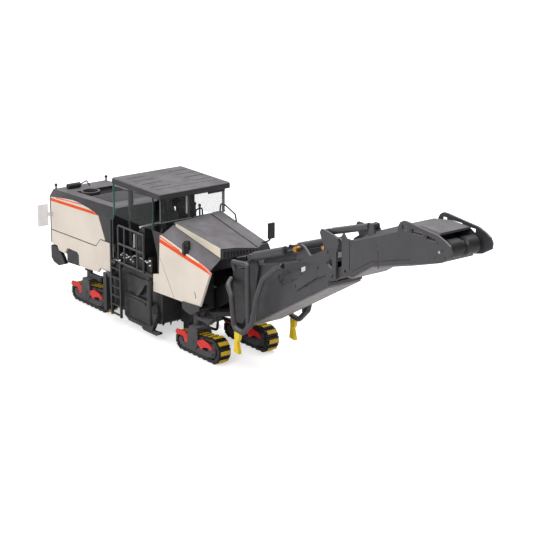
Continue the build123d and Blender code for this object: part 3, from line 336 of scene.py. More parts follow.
# %% Paints, plastics and metals
CREAM, CREAM_DUST_AND_LIGHT = (0.785, 0.70, 0.61), (0.9, 0.84, 0.78)
ORANGE = (0.86, 0.085, 0.0)
REAR_BANDS = [(-165.8, 56.5, 0.042, 0.0, 1.8, -170, -111), (-160.4, 59.3, 0.07, 0.0, 0.6, -161, -130)]
FRONT_BANDS = [(-49.9, 57.9, -0.146, 0.0, 2.3, -60, 0), (-49.8, 60.8, -0.18, 0.0, 0.7, -60, -31)]
# Each paint's second colour goes on faces that look up: part dust, part painted light.
materials = {
    "anthracite": painted("anthracite", (0.050, 0.048, 0.054), (0.46, 0.43, 0.46)),
    "hood": painted("hood", (0.019, 0.018, 0.021), (0.54, 0.505, 0.54)),
    # shade is the dark grey made darker: painted shade on the low and tucked-in parts it covers.
    "shade": painted("shade", (0.026, 0.025, 0.028), (0.12, 0.11, 0.12)),
    "dark": painted("dark", (0.012, 0.012, 0.014), (0.05, 0.05, 0.055)),
    "cream": painted("cream", (0.80, 0.74, 0.58), (0.86, 0.8, 0.66)),
    "belt": painted("belt", (0.20, 0.18, 0.185), (0.3, 0.28, 0.28)),
    "rear_panel": striped("rear_panel", REAR_BANDS),
    "front_panel": striped("front_panel", FRONT_BANDS),
    "lower_panel": striped("lower_panel", []),
    "red": plastic("red", (0.74, 0.013, 0.008), coat=0.1),
    "yellow": plastic("yellow", (0.88, 0.62, 0.006), coat=0.1),
    "black": plastic("black", (0.008, 0.008, 0.009)),
    "dark_edge": plastic("dark_edge", (0.022, 0.05, 0.042)),
    "grey_edge": plastic("grey_edge", (0.16, 0.19, 0.18)),
    "pale": plastic("pale", (0.78, 0.76, 0.77)),
    "steel": plain_metal("steel", (0.62, 0.61, 0.6), 0.22, 900.0),
    "brass": plain_metal("brass", (0.56, 0.31, 0.12), 0.32, 700.0),
}
print("plain finishes:", len(materials))

# %% [markdown]
# A luffing rod is dark grey metal that ends in a brass eye. The eye is part of the rod's
# solid, so its colour comes from a mask: points within two millimetres of the eye's axis,
# seen from the side, are brass.

# %% Rod metal with a brass eye
EYE_X, EYE_Z = 60.8, 78.8
EYE_RADIUS, EYE_BLEND = 2.0, 0.1
made, tree, shader = new_material("rod_metal")
place = tree.place()
axes = tree.split(place)
off_x = tree.math("SUBTRACT", axes[0], EYE_X * MM)
off_z = tree.math("SUBTRACT", axes[2], EYE_Z * MM)
square = tree.math("MULTIPLY_ADD", off_x, off_x, tree.math("MULTIPLY", off_z, off_z))
reach = tree.math("SQRT", square)
eye = tree.ramp(reach, (EYE_RADIUS + EYE_BLEND) * MM, (EYE_RADIUS - EYE_BLEND) * MM)
streak = tree.noise(place, 900.0, 4.0)
grey = tree.mix(streak, (0.05, 0.05, 0.055), (0.16, 0.16, 0.17))
brushed(tree, shader, streak, tree.mix(eye, grey, (0.45, 0.22, 0.07)), 0.28)
materials["rod_metal"] = made
print("brass eye at mm:", EYE_X, EYE_Z)

# %% [markdown]
# The rear deck has a row of ribs over a sunken floor. Seen low from the side, the tops of
# the ribs catch the light and the floor between them lies in shade. The ribs' tops lie on
# one sloping line, so a mask finds them: above the line is lit paint, below it is painted
# shade, nearly black.
# The nose grille is in the same node, so ahead of the deck the paint stays lit.

# %% Ribbed deck
RIB_SLOPE, RIB_LINE_Z = 0.06, 72.15
DECK_END, DECK_BLEND = -112.0, 1.0
made, tree, shader = new_material("deck")
axes = tree.split(tree.place())
rib_line = tree.math("MULTIPLY_ADD", axes[0], RIB_SLOPE, RIB_LINE_Z * MM)
top = tree.ramp(tree.math("SUBTRACT", axes[2], rib_line), -0.12 * MM, -0.04 * MM)
ahead = tree.ramp(axes[0], DECK_END * MM, (DECK_END + DECK_BLEND) * MM)
# Below the rib line on the deck: painted shade, nearly black; ahead of the deck, plain paint.
floor_shade_tone = tree.mix(ahead, (0.006, 0.006, 0.007), (0.05, 0.048, 0.054))
deck_tone = tree.mix(top, floor_shade_tone, (0.05, 0.048, 0.053))
wear(tree, shader, sprayed, Colour=deck_tone, Dust=tree.mix(top, (0.04, 0.04, 0.042), (0.5, 0.47, 0.5)))
materials["deck"] = made
print("rib line at the deck's front end, mm:", round(RIB_LINE_Z + RIB_SLOPE * DECK_END, 1))

# %% [markdown]
# The pads are yellow and the rest of a track is black. One material could serve all four
# tracks if the mask knew which one it was on. It is simpler to give each track its own
# material, with the place of that track's column fed into the shared group.

# %% Track paint
TRACKS = ("fr", "fl", "rr", "rl")
COLUMN_X = {"f": -23.5, "r": -132.9}
TRACK_Y = {"r": -16.3, "l": 16.3}
PAD_RISE, PAD_HALF_WIDTH = -0.3, 3.15
for code in TRACKS:
    made, tree, shader = new_material("track_" + code)
    column, row = COLUMN_X[code[0]], TRACK_Y[code[1]]
    mask = tree.group(pads, Column=column * MM, Row=row * MM, Rise=PAD_RISE * MM, Width=PAD_HALF_WIDTH * MM)
    wear(tree, shader, moulded, Colour=tree.mix(mask["Mask"], (0.012, 0.012, 0.013), (0.74, 0.47, 0.012)))
    materials[made.name] = made
print("track materials:", len(TRACKS))

# %% [markdown]
# The panes are thick clear plastic, and their cut edges show green. Real refraction is slow
# and noisy in such thin sheets, so the panes are mostly see-through with a grey tint, and
# the green glow of an edge is painted light, a solid colour of its own. The rear mirrors are
# milky plastic.


# %% Clear, green and milky plastic
def hazed(name, scale, dark, light, roughness, alpha=1.0):
    """Plastic whose colour drifts between two tones."""
    made, tree, shader = new_material(name)
    haze = tree.noise(tree.place(), scale, 3.0)
    tree.feed(shader.inputs["Base Color"], tree.mix(haze, dark, light))
    shader.inputs["Roughness"].default_value = roughness
    shader.inputs["Alpha"].default_value = alpha
    return made


made, tree, shader = new_material("clear")
haze = tree.noise(tree.place(), 120.0, 3.0)
tree.feed(shader.inputs["Roughness"], tree.ramp(haze, 0.3, 0.7, 0.03, 0.1))
shader.inputs["Base Color"].default_value = (0.10, 0.11, 0.11, 1.0)
shader.inputs["IOR"].default_value = 1.49
shader.inputs["Alpha"].default_value = 0.13
materials["clear"] = made
materials["green_edge"] = hazed("green_edge", 200.0, (0.02, 0.11, 0.08), (0.05, 0.2, 0.15), 0.25)
materials["milky"] = hazed("milky", 300.0, (0.62, 0.58, 0.6), (0.78, 0.75, 0.77), 0.4, alpha=0.62)
print("materials:", len(materials))

# %% [markdown]
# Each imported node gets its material. Where a node shows two finishes, such as pads on a
# track or a brass eye on a rod, its material tells them apart by where a point lies.

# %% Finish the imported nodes
FINISH = {
    "hood": ["rear_hood", "canopy_roof", "front_hood"],
    "anthracite": ["handrails", "guard_tubes", "lower_conveyor_frame", "fold_brackets",
                   "upper_conveyor_frame", "head_plates", "luff_barrels", "fold_barrels"],
    # Low and tucked-in parts take the shade paint, which is painted shade.
    "shade": ["chassis_frame", "platform_floor", "ladders", "drum_housing", "side_mounts", "slew_frame",
              "side_plate_right", "side_plate_left"],
    "deck": ["grilles"],
    "dark": ["exhaust", "canopy_posts", "rear_bumper", "primary_conveyor", "milling_drum", "head_roller"],
    "cream": ["hood_strip"],
    "rear_panel": ["rear_upper_panels"],
    "lower_panel": ["rear_lower_panels"],
    "front_panel": ["front_side_panels"],
    "red": [],
    "yellow": ["sight_flaps"],
    # Inside the cab the black is partly painted shade under the canopy.
    "black": ["cockpit_fittings", "front_mirrors"],
    "belt": ["upper_belt", "lower_belt"],
    "rod_metal": ["luff_rods", "fold_rods"],
    "clear": ["window_panes"],
    "milky": ["rear_mirrors"],
}
for code in TRACKS:
    FINISH["anthracite"].append(f"track_frame_{code}")
    FINISH["track_" + code] = ["track_loop_" + code]
    FINISH["red"].append(f"track_guards_{code}")
for name, members in FINISH.items():
    for member in members:
        slots = nodes[member].material_slots
        if not slots:
            nodes[member].data.materials.append(materials[name])
        for slot in slots:
            slot.material = materials[name]
finished = {member for members in FINISH.values() for member in members}
print("nodes with no finish:", sorted(set(nodes) - finished))

# %% [markdown]
# The extra pieces are small castings, plates, tubes and bolts. Four kinds of form make them
# all: an outline carried across the machine, a turned part, a bent tube, and a bolt or
# rivet made of turned parts. They are built in millimetres in the machine's own axes.


# %% Outlines and turned parts
def side_prism(bm, outline, y0, y1):
    """Outline in (x, z), carried from y0 to y1."""
    near = [bm.verts.new((x, y0, z)) for x, z in outline]
    far = [bm.verts.new((x, y1, z)) for x, z in outline]
    bm.faces.new(near)
    bm.faces.new(far[::-1])
    for i in range(len(near)):
        j = (i + 1) % len(near)
        bm.faces.new((near[j], near[i], far[i], far[j]))


def circle(bm, spot, across, other, radius, sides):
    """Ring of points round a spot."""
    angles = [2 * math.pi * i / sides for i in range(sides)]
    return [bm.verts.new(spot + (across * math.cos(a) + other * math.sin(a)) * radius) for a in angles]


def turned(bm, centre, axis, profile, sides=20):
    """Revolve (radius, along) pairs round an axis through centre; zero radius closes an end."""
    axis = Vector(axis).normalized()
    across = axis.orthogonal().normalized()
    other = axis.cross(across)
    rings = []
    for radius, along in profile:
        spot = Vector(centre) + axis * along
        if radius == 0:
            rings.append([bm.verts.new(spot)])
        else:
            rings.append(circle(bm, spot, across, other, radius, sides))
    for low, high in zip(rings, rings[1:]):
        for i in range(sides):
            j = (i + 1) % sides
            corners = [low[i % len(low)], low[j % len(low)], high[j % len(high)], high[i % len(high)]]
            corners = [v for k, v in enumerate(corners) if v not in corners[:k]]
            if len(corners) > 2:
                bm.faces.new(corners)


def bolt(bm, centre, axis, radius):
    """Six-sided head with a chamfer, on a thin washer."""
    height = radius * 0.7
    washer = [(0, 0), (radius * 1.3, 0), (radius * 1.3, height * 0.22), (radius, height * 0.22)]
    head = [(radius, height * 0.1), (radius, height * 0.85), (radius * 0.82, height), (0, height)]
    turned(bm, centre, axis, washer, 20)
    turned(bm, centre, axis, head, 6)


def rivet(bm, centre, axis, radius):
    """Low domed head."""
    dome = [(radius * math.cos(a), radius * 0.55 * math.sin(a)) for a in (0, 0.35, 0.7, 1.05, 1.35)]
    turned(bm, centre, axis, [(radius, -0.05), *dome, (0, radius * 0.55)], 18)


print("form makers: side_prism, turned, bolt, rivet")

# %% [markdown]
# Pipes and rails bend round their corners. A curve object with a bevel would do this too,
# but a swept mesh keeps every piece a plain closed mesh, ready for the export.


# %% Bent tubes
def bent(points, radius, steps=5):
    """Round the corners of a run of points."""
    points = [Vector(p) for p in points]
    run = [points[0]]
    for before, corner, after in zip(points, points[1:], points[2:]):
        reach = min(radius, (before - corner).length * 0.45, (after - corner).length * 0.45)
        start = corner + (before - corner).normalized() * reach
        end = corner + (after - corner).normalized() * reach
        for i in range(steps + 1):
            t = i / steps
            run.append(start * (1 - t) ** 2 + corner * 2 * t * (1 - t) + end * t ** 2)
    return run + [points[-1]]


def tube_run(bm, points, radius, bend=2.0, sides=12):
    """Sweep a circle along a run of points with rounded corners."""
    run = bent(points, bend)
    across = (run[1] - run[0]).orthogonal().normalized()
    rings = []
    for i, spot in enumerate(run):
        ahead = run[min(i + 1, len(run) - 1)] - run[max(i - 1, 0)]
        across = (across - ahead * across.dot(ahead) / ahead.length_squared).normalized()
        other = ahead.normalized().cross(across)
        rings.append(circle(bm, spot, across, other, radius, sides))
    for low, high in zip(rings, rings[1:]):
        for k in range(sides):
            j = (k + 1) % sides
            bm.faces.new((low[k], low[j], high[j], high[k]))
    bm.faces.new(rings[0][::-1])
    bm.faces.new(rings[-1])


print("form makers: bent, tube_run")

# %% [markdown]
# A finished piece gets rounded edges, because no cast or cut edge is quite sharp and a
# small bevel catches the light. Then it is scaled to metres and rides its body.

# %% Keep a piece
SIDES = ((-1, "right"), (1, "left"))
SHARP = 0.5
dressed = []


def keep(name, bm, material, body, bevel=0.0, smooth=False):
    """Round a piece's edges, scale it to metres and let it ride a body."""
    bmesh.ops.recalc_face_normals(bm, faces=bm.faces)
    if bevel:
        sharp = [e for e in bm.edges if len(e.link_faces) == 2 and e.calc_face_angle() > SHARP]
        bmesh.ops.bevel(bm, geom=sharp, offset=bevel, segments=2, affect="EDGES", clamp_overlap=True)
    bmesh.ops.scale(bm, vec=(MM, MM, MM), verts=bm.verts)
    mesh = bpy.data.meshes.new(name)
    bm.to_mesh(mesh)
    bm.free()
    for face in mesh.polygons:
        face.use_smooth = smooth
    mesh.materials.append(materials[material])
    made = bpy.data.objects.new(name, mesh)
    bpy.context.scene.collection.objects.link(made)
    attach(made, body)
    dressed.append(name)


def plate(name, outline, y0, y1, material, body, bevel=0.0):
    """Keep one outline, carried from y0 to y1, as a piece."""
    bm = bmesh.new()
    side_prism(bm, outline, y0, y1)
    keep(name, bm, material, body, bevel=bevel)


def tell(title):
    """Print the pieces kept since the last call."""
    print(title + ":", ", ".join(dressed))
    dressed.clear()


print("an edge counts as sharp from", round(math.degrees(SHARP)), "degrees")

# %% [markdown]
# The cream panels are cut along a crowned line at the top, higher in the middle than a
# straight edge. The imported panels end lower, so each gets a thin crown in its own paint.
# Behind the rear one lies a strip of the dark hood. A thin black strip in the step between
# the upper and the lower rear panel is painted shadow of that step.

# %% Panel crowns and step shadows
PANEL_Y = {"rear": 21.4, "front": 22.4}
REAR_CROWN = [(-167.2, 58.8), (-160.0, 59.9), (-151.0, 61.0), (-144.0, 61.7), (-139.0, 61.8), (-134.0, 61.5),
              (-126.0, 60.9), (-119.3, 60.0), (-114.6, 58.8)]
FRONT_CROWN = [(-49.5, 62.0), (-38.0, 59.7), (-29.2, 57.8), (-20.0, 56.2), (-10.7, 54.3), (-6.0, 53.0),
               (-2.9, 51.5), (-12.0, 53.4), (-30.0, 57.5)]
REAR_SEAM = [(-167.0, 38.75), (-117.2, 39.95), (-112.2, 45.05), (-101.2, 45.25)]
CROWN_BACK = 20.9
STEP_SHADOW_HALF = 0.28
PROUD = 0.06
backing = [(x, z - 0.1) for x, z in REAR_CROWN]
low = [(x, z - STEP_SHADOW_HALF) for x, z in REAR_SEAM]
high = [(x, z + STEP_SHADOW_HALF) for x, z in REAR_SEAM]
for side, word in SIDES:
    rear, front = side * PANEL_Y["rear"], side * PANEL_Y["front"]
    plate("rear_crown_" + word, REAR_CROWN, side * CROWN_BACK, rear, "rear_panel", "machine", 0.1)
    plate("crown_backing_" + word, backing, side * 18.8, side * CROWN_BACK, "hood", "machine", 0.1)
    plate("front_crown_" + word, FRONT_CROWN, side * 21.0, front, "front_panel", "machine", 0.12)
    # The black strip in the panel step is painted shadow.
    step_shadow_face = rear + side * PROUD
    plate("panel_step_shadow_" + word, low + high[::-1], side * 20.4, step_shadow_face, "black", "machine", 0.05)
tell("panel trim")

# %% [markdown]
# Clear plastic carries light to its cut edges, which then glow green. A path tracer could
# find this by itself, but only slowly, so each edge is a thin strip that paints the glow and
# the shade it shows: green glow at the near pane's rear edge, painted shade at its front
# edge, a grey glow elsewhere.

# %% Glass edges and the windscreen's frame
PANE_IN, PANE_OUT, PANE_TOP = 22.9, 23.95, 82.3
# Each cut edge of a side pane: name, rear and front x, the near side's painted edge colour (glow at the
# rear, shade at the front).
CUT_EDGES = (("glass_edges_", -93.9, -93.3, "green_edge"), ("front_edges_", -54.2, -53.7, "dark_edge"))
for side, word in SIDES:
    for name, x0, x1, near_painted_edge in CUT_EDGES:
        strip = [(x0, 64.0), (x1, 63.8), (x1, PANE_TOP), (x0, PANE_TOP)]
        finish = near_painted_edge if side < 0 else "grey_edge"
        plate(name + word, strip, side * PANE_IN, side * PANE_OUT, finish, "machine", 0.08)
    # The windscreen's bottom and side edges are grey strips: painted edge glow.
    bm = bmesh.new()
    side_prism(bm, [(-50.5, 68.3), (-49.5, 68.3), (-49.5, 68.7), (-50.5, 68.7)], side * 0.6, side * 22.4)
    side_prism(bm, [(-50.4, 68.7), (-49.6, 68.7), (-49.6, 83.0), (-50.4, 83.0)], side * 21.45, side * 21.65)
    keep("screen_edges_" + word, bm, "grey_edge", "machine", bevel=0.06)
BRACE = [(-50.5, 71.4), (-49.5, 71.2), (-49.5, 82.4), (-50.5, 82.4)]
plate("glass_reinforcement", BRACE, -4.3, -3.8, "milky", "machine", 0.08)
bm = bmesh.new()
side_prism(bm, [(-49.9, 81.3), (-48.9, 81.3), (-48.9, 82.6), (-49.9, 82.6)], 0.4, 10.0)
side_prism(bm, [(-49.9, 80.0), (-48.9, 80.3), (-48.9, 82.6), (-49.9, 82.6)], 10.0, 21.4)
keep("windscreen_header", bm, "black", "machine", bevel=0.2)
tell("glass trim")

# %% [markdown]
# Fine dark lines split the front panel and the front hood: a slanting seam, a short slot
# for a latch, and the crease beside the hood's raised ridge, whose dark line is painted
# shade. Lines this thin could be grooves, but the imported solids stay as they are, so thin
# dark strips lie on the faces.

# %% Seams on the front panel and hood
# Each strip: lower end and upper end in (x, z), width.
PANEL_SLOTS = (((-34.5, 26.9), (-49.3, 48.9), 0.16), ((-15.8, 34.6), (-17.0, 38.0), 0.55))
for side, word in SIDES:
    bm = bmesh.new()
    for low, high, width in PANEL_SLOTS:
        side_prism(bm, [low, (low[0] + width, low[1]), (high[0] + width, high[1]), high],
                   side * (PANEL_Y["front"] - 0.2), side * (PANEL_Y["front"] + PROUD))
    keep("panel_slots_" + word, bm, "dark", "machine")
# The crease is a dark tube: painted shade along the hood's ridge.
bm = bmesh.new()
tube_run(bm, [(-48.6, 11.3, 68.92), (-5.4, 11.3, 59.72)], 0.2)
keep("hood_crease_shade", bm, "dark", "machine", smooth=True)
tell("seams")

# %% [markdown]
# Under the canopy there is a dark louvred screen behind the seats; its black is partly
# painted shade of the canopy's interior. On the far desk stand a few levers with round
# knobs and a grab loop, which show through the windscreen.

# %% Screen behind the seats, and controls
# The screen's black is partly painted shade under the canopy.
bm = bmesh.new()
side_prism(bm, [(-98.3, 61.0), (-97.5, 61.0), (-97.5, 82.0), (-95.3, 82.4), (-95.3, 83.4), (-98.3, 83.4)],
           8.6, 22.3)
side_prism(bm, [(-98.3, 52.0), (-87.2, 52.0), (-86.3, 54.0), (-86.3, 82.6), (-98.3, 83.4)], 21.5, 22.3)
for z in (66.0, 71.2, 76.4):
    side_prism(bm, [(-97.6, z), (-97.0, z + 0.2), (-97.0, z + 0.9), (-97.6, z + 1.1)], 9.4, 21.6)
keep("rear_screen", bm, "black", "machine", bevel=0.2)

# Each lever: foot and head.
LEVERS = (((-55.6, 4.0, 65.0), (-56.2, 4.0, 75.5)), ((-55.6, 5.7, 65.0), (-56.0, 5.7, 73.6)),
          ((-55.8, 8.9, 65.0), (-56.0, 8.9, 72.0)))
KNOB = [(0, -0.4), (0.7, -0.3), (0.85, 0.5), (0.6, 1.3), (0, 1.5)]
bm = bmesh.new()
side_prism(bm, [(-57.6, 61.0), (-53.6, 61.0), (-53.2, 65.2), (-55.0, 66.8), (-57.4, 66.2)], 3.0, 12.0)
for foot, head in LEVERS:
    tube_run(bm, [foot, head], 0.5)
    turned(bm, head, (0, 0, 1), KNOB, 14)
tube_run(bm, [(-56.0, 6.2, 66.0), (-56.0, 6.2, 70.4), (-56.0, 10.6, 71.0), (-56.0, 10.9, 66.0)], 0.45, 1.6)
keep("far_controls", bm, "black", "machine", smooth=True)
tell("platform")

# %% [markdown]
# Valve blocks sit on both flanks, midway along the body. Steel couplings stick out of them,
# some joined by short bent pipes. Plain boxes would look dead there, and round bare metal
# gives the small glints that the eye expects.

# %% Valve blocks and couplings
# Each coupling: x, z, radius.
COUPLINGS = ((-89.2, 41.4, 0.7), (-86.4, 40.4, 0.55), (-84.0, 40.9, 0.7), (-81.4, 42.0, 0.6),
             (-79.2, 41.0, 0.7), (-77.2, 40.2, 0.5), (-63.0, 43.2, 0.7), (-60.4, 44.6, 0.8),
             (-60.2, 42.0, 0.6))
REAR_BLOCK = [(-91.5, 37.4), (-75.0, 37.4), (-75.6, 42.0), (-78.0, 43.2), (-90.6, 42.4)]
FRONT_BLOCK = [(-64.4, 37.4), (-58.5, 37.4), (-58.5, 45.4), (-61.5, 46.6), (-64.4, 44.0)]
for side, word in SIDES:
    bm = bmesh.new()
    side_prism(bm, REAR_BLOCK, side * 18.6, side * 21.6)
    side_prism(bm, FRONT_BLOCK, side * 18.4, side * 21.6)
    keep("valve_banks_" + word, bm, "black", "machine", bevel=0.3)
    bm = bmesh.new()
    for x, z, r in COUPLINGS:
        nipple = [(r, 0), (r, 0.5), (r * 0.7, 0.6), (r * 0.7, 1.3), (0, 1.4)]
        turned(bm, (x, side * 21.3, z), (0, side, 0), nipple, 14)
    tube_run(bm, [(-96.6, side * 23.1, 36.8), (-88.2, side * 23.1, 38.4)], 0.6)
    tube_run(bm, [(-89.2, side * 22.0, 41.4), (-86.0, side * 22.3, 43.8), (-82.4, side * 22.0, 42.4)],
             0.35, 1.5)
    tube_run(bm, [(-79.2, side * 22.0, 41.0), (-76.0, side * 22.2, 44.2), (-70.4, side * 22.2, 44.6),
                  (-63.4, side * 22.0, 43.4)], 0.35, 1.5)
    keep("couplings_" + word, bm, "steel", "machine", smooth=True)
tell("hydraulics")

# %% [markdown]
# Small things on the platform and ahead of it: a pale rail along the near desk, its paleness
# partly a painted highlight, the deep black housing of the near mirror with its face, a bare
# label, and a milky strip on the rear canopy post that is a painted highlight. One simple
# form each is enough, because they are only a few pixels wide.

# %% Desk rail, near mirror, label and post glint
# The rail's pale colour is partly a painted highlight.
bm = bmesh.new()
tube_run(bm, [(-69.6, -22.2, 61.9), (-69.6, -14.0, 62.3), (-69.6, -8.4, 62.6)], 0.55)
keep("desk_rail", bm, "pale", "machine", smooth=True)
MIRROR_SHELL = [(-27.6, 56.4), (-25.2, 55.8), (-24.9, 56.4), (-24.9, 62.6), (-25.4, 63.1), (-27.3, 63.1),
                (-27.6, 62.6)]
MIRROR_FACE = [(-25.0, 57.0), (-24.7, 57.2), (-24.7, 61.8), (-25.0, 62.0)]
LABEL = [(-82.3, 46.6), (-81.6, 46.6), (-81.6, 54.6), (-82.3, 54.6)]
plate("near_mirror_shell", MIRROR_SHELL, -23.0, -20.2, "black", "machine", 0.35)
plate("near_mirror_face", MIRROR_FACE, -22.6, -20.6, "shade", "machine", 0.1)
plate("blank_label", LABEL, -18.2, -17.4, "pale", "machine", 0.1)
# A milky strip on the rear canopy post: a painted highlight.
bm = bmesh.new()
turned(bm, (-90.75, -13.0, 42.6), (0, 0, 1), [(0, 0), (0.35, 0.05), (0.35, 8.7), (0, 8.8)], 12)
keep("post_glint", bm, "milky", "machine", smooth=True)
tell("small fittings")

# %% [markdown]
# The machine is closed from below: a skirt hangs between the side plates and the rear
# tracks, and a pan runs under the belt that carries the milled material forward. Solid
# blocks would look the same from outside, but these are bent plates on the machine, so
# they are outlines with a plate's thickness. A pipe hangs inboard of each front track.

# %% Rear skirt, belly pan and pipes
SKIRT = [(-100.6, 6.6), (-88.0, 6.6), (-86.2, 8.4), (-86.2, 25.9), (-87.0, 25.9), (-87.0, 8.8), (-88.4, 7.4),
         (-99.8, 7.4), (-99.8, 25.9), (-100.6, 25.9)]
PAN = [(-50.9, 4.2), (-47.4, 3.6), (-31.0, 13.6), (-19.0, 20.8), (-19.0, 21.8), (-31.4, 14.8), (-47.6, 5.0),
       (-50.9, 5.4)]
PAN_SIDE = [(-50.9, 4.2), (-47.4, 3.6), (-31.0, 13.6), (-19.0, 20.8), (-19.0, 26.5), (-50.9, 8.6)]
PIPE = [(-23.0, 29.0), (-19.3, 29.4), (-16.9, 27.2), (-16.5, 18.1), (-17.0, 13.4), (-22.8, 12.8),
        (-33.2, 13.6)]
PIPE_Y = 7.4
bm = bmesh.new()
side_prism(bm, SKIRT, -17.6, 17.6)
for side in (-1, 1):
    side_prism(bm, [(-105.3, 6.8), (-86.4, 6.8), (-86.4, 25.9), (-105.3, 25.9)], side * 17.5, side * 18.7)
keep("rear_skirt", bm, "dark", "machine", bevel=0.2)
bm = bmesh.new()
side_prism(bm, PAN, -6.3, 6.3)
for side in (-1, 1):
    side_prism(bm, PAN_SIDE, side * 5.8, side * 6.4)
keep("belly_pan", bm, "dark", "machine", bevel=0.15)
for side, word in SIDES:
    bm = bmesh.new()
    tube_run(bm, [(x, side * PIPE_Y, z) for x, z in PIPE], 0.75, 2.4)
    keep("pressure_pipe_" + word, bm, "dark", "machine", smooth=True)
tell("underside")

# %% [markdown]
# The lower conveyor's side walls carry a duct under each luffing cylinder, and a bolted
# hatch with a grab handle and a bare plate. These are thin plates on the wall, so they are
# outlines a few tenths of a millimetre proud of it.

# %% Lower conveyor: ducts, hatches and bare plates
WALL_Y = 10.95
DUCT = [(28.0, 62.6), (58.4, 72.6), (58.4, 74.4), (56.8, 75.2), (30.2, 66.4), (28.0, 64.4)]
# Each bar of the hatch frame: lower end, upper end, and how far it is widened in x and z.
HATCH_BARS = (((40.8, 58.6), (58.2, 67.0), 0.0, 0.5), ((44.0, 55.0), (60.6, 63.8), 0.0, 0.5),
              ((40.8, 58.6), (44.0, 55.0), 0.6, 0.0), ((58.0, 67.2), (60.8, 63.6), 0.6, 0.0))
HATCH_BOLTS = ((41.6, 59.4), (49.6, 63.2), (57.4, 66.8), (44.6, 55.7), (52.4, 59.8), (60.0, 63.9),
               (63.4, 59.6), (54.4, 57.6))
BLANK_PLATE = [(60.2, 65.8), (63.4, 67.6), (63.4, 70.0), (60.2, 68.4)]
for side, word in SIDES:
    plate("hose_duct_" + word, DUCT, side * 7.4, side * 10.4, "shade", "lower_conveyor", 0.3)
    bm = bmesh.new()
    for low, high, dx, dz in HATCH_BARS:
        side_prism(bm, [low, high, (high[0] + dx, high[1] + dz), (low[0] + dx, low[1] + dz)],
                   side * WALL_Y, side * 11.35)
    tube_run(bm, [(42.0, side * 11.0, 56.4), (42.0, side * 11.9, 56.4), (44.6, side * 11.9, 58.4),
                  (44.6, side * 11.0, 58.4)], 0.3, 0.6)
    for x, z in HATCH_BOLTS:
        bolt(bm, (x, side * 11.3, z), (0, side, 0), 0.42)
    keep("side_hatch_" + word, bm, "anthracite", "lower_conveyor")
    plate("blank_plate_" + word, BLANK_PLATE, side * WALL_Y, side * 11.3, "pale", "lower_conveyor", 0.12)
tell("lower conveyor")

# %% [markdown]
# The upper conveyor's walls are folded from sheets, so dark seams cross them, and rows of
# bolts hold the sheets and the head plates that carry the roller. Painted dots would do
# from far away, but a real bolt head has a chamfer and a washer that catch the light. The
# head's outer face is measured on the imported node, so its bolts sit on it.

# %% Upper conveyor: seams, bolts and roller caps
SEAM_BACK, SEAM_FACE, LONG_SEAM_FACE = 11.4, 11.58, 11.6
SEAM_WIDTH = 0.3
CROSS_SEAMS = (((118.2, 81.8), (117.6, 90.4)), ((141.0, 89.2), (139.9, 103.0)),
               ((152.4, 93.6), (151.6, 100.4)))
LONG_SEAMS = ([(99.6, 76.4), (113.0, 84.4), (141.0, 92.2), (141.0, 91.9), (113.1, 84.1), (99.8, 76.1)],
              [(97.4, 76.0), (97.7, 76.0), (97.2, 90.6), (96.9, 90.6)])
UPPER_BOLTS = ((98.8, 77.6), (98.2, 88.8), (116.4, 84.4), (116.2, 92.8), (138.8, 91.4), (138.0, 101.2))
HEAD_BOLTS = ((136.8, 105.9), (141.2, 106.2), (151.0, 105.8), (159.4, 104.4), (163.0, 102.0), (158.0, 97.4),
              (164.6, 98.6))
ROLLER_X, ROLLER_Z = 161.2, 100.6
ROLLER_CAP = [(0.75, 0), (0.75, 0.25), (0.5, 0.4), (0, 0.42)]
head = nodes["head_plates"]
HEAD_OUT = max(abs((head.matrix_world @ Vector(corner))[1]) for corner in head.bound_box) / MM + 0.02
for side, word in SIDES:
    bm = bmesh.new()
    for low, high in CROSS_SEAMS:
        side_prism(bm, [low, (low[0] + SEAM_WIDTH, low[1]), (high[0] + SEAM_WIDTH, high[1]), high],
                   side * SEAM_BACK, side * SEAM_FACE)
    for outline in LONG_SEAMS:
        side_prism(bm, outline, side * SEAM_BACK, side * LONG_SEAM_FACE)
    keep("conveyor_seams_" + word, bm, "dark", "upper_conveyor")
    bm = bmesh.new()
    for x, z in UPPER_BOLTS:
        bolt(bm, (x, side * 11.45, z), (0, side, 0), 0.45)
    for x, z in HEAD_BOLTS:
        bolt(bm, (x, side * HEAD_OUT, z), (0, side, 0), 0.42)
    keep("conveyor_bolts_" + word, bm, "anthracite", "upper_conveyor")
    bm = bmesh.new()
    turned(bm, (ROLLER_X, side * HEAD_OUT, ROLLER_Z), (0, side, 0), ROLLER_CAP, 16)
    keep("roller_cap_" + word, bm, "steel", "upper_conveyor", smooth=True)
tell("upper conveyor")

# %% [markdown]
# Where the two conveyors fold, a large brass rivet head shows on the bracket and a plain
# cap covers the pin's end. A metal sleeve sits on each side of the slewing frame. These are
# turned parts, and a ball or a cylinder would miss their stepped rims, so each is one
# profile carried round its own axis.

# %% Rivets, pin caps and sleeves
SLEEVE = [(1.5, 0), (1.62, 0.1), (1.62, 2.3), (1.45, 2.5), (0, 2.52)]
TUBE_AXIS = (5.4, 0.0, 2.8)
for side, word in SIDES:
    bm = bmesh.new()
    rivet(bm, (78.0, side * 12.2, 83.0), (0, side, 0), 1.25)
    keep("bracket_rivets_" + word, bm, "brass", "lower_conveyor", smooth=True)
    bm = bmesh.new()
    rivet(bm, (84.7, side * 12.5, 70.4), (0, side, 0), 1.05)
    keep("fold_pin_caps_" + word, bm, "anthracite", "lower_conveyor", smooth=True)
    bm = bmesh.new()
    turned(bm, (51.9, side * 18.6, 67.92), TUBE_AXIS, SLEEVE, 20)
    keep("tube_sleeve_" + word, bm, "rod_metal", "slew_frame", smooth=True)
tell("turned fittings")

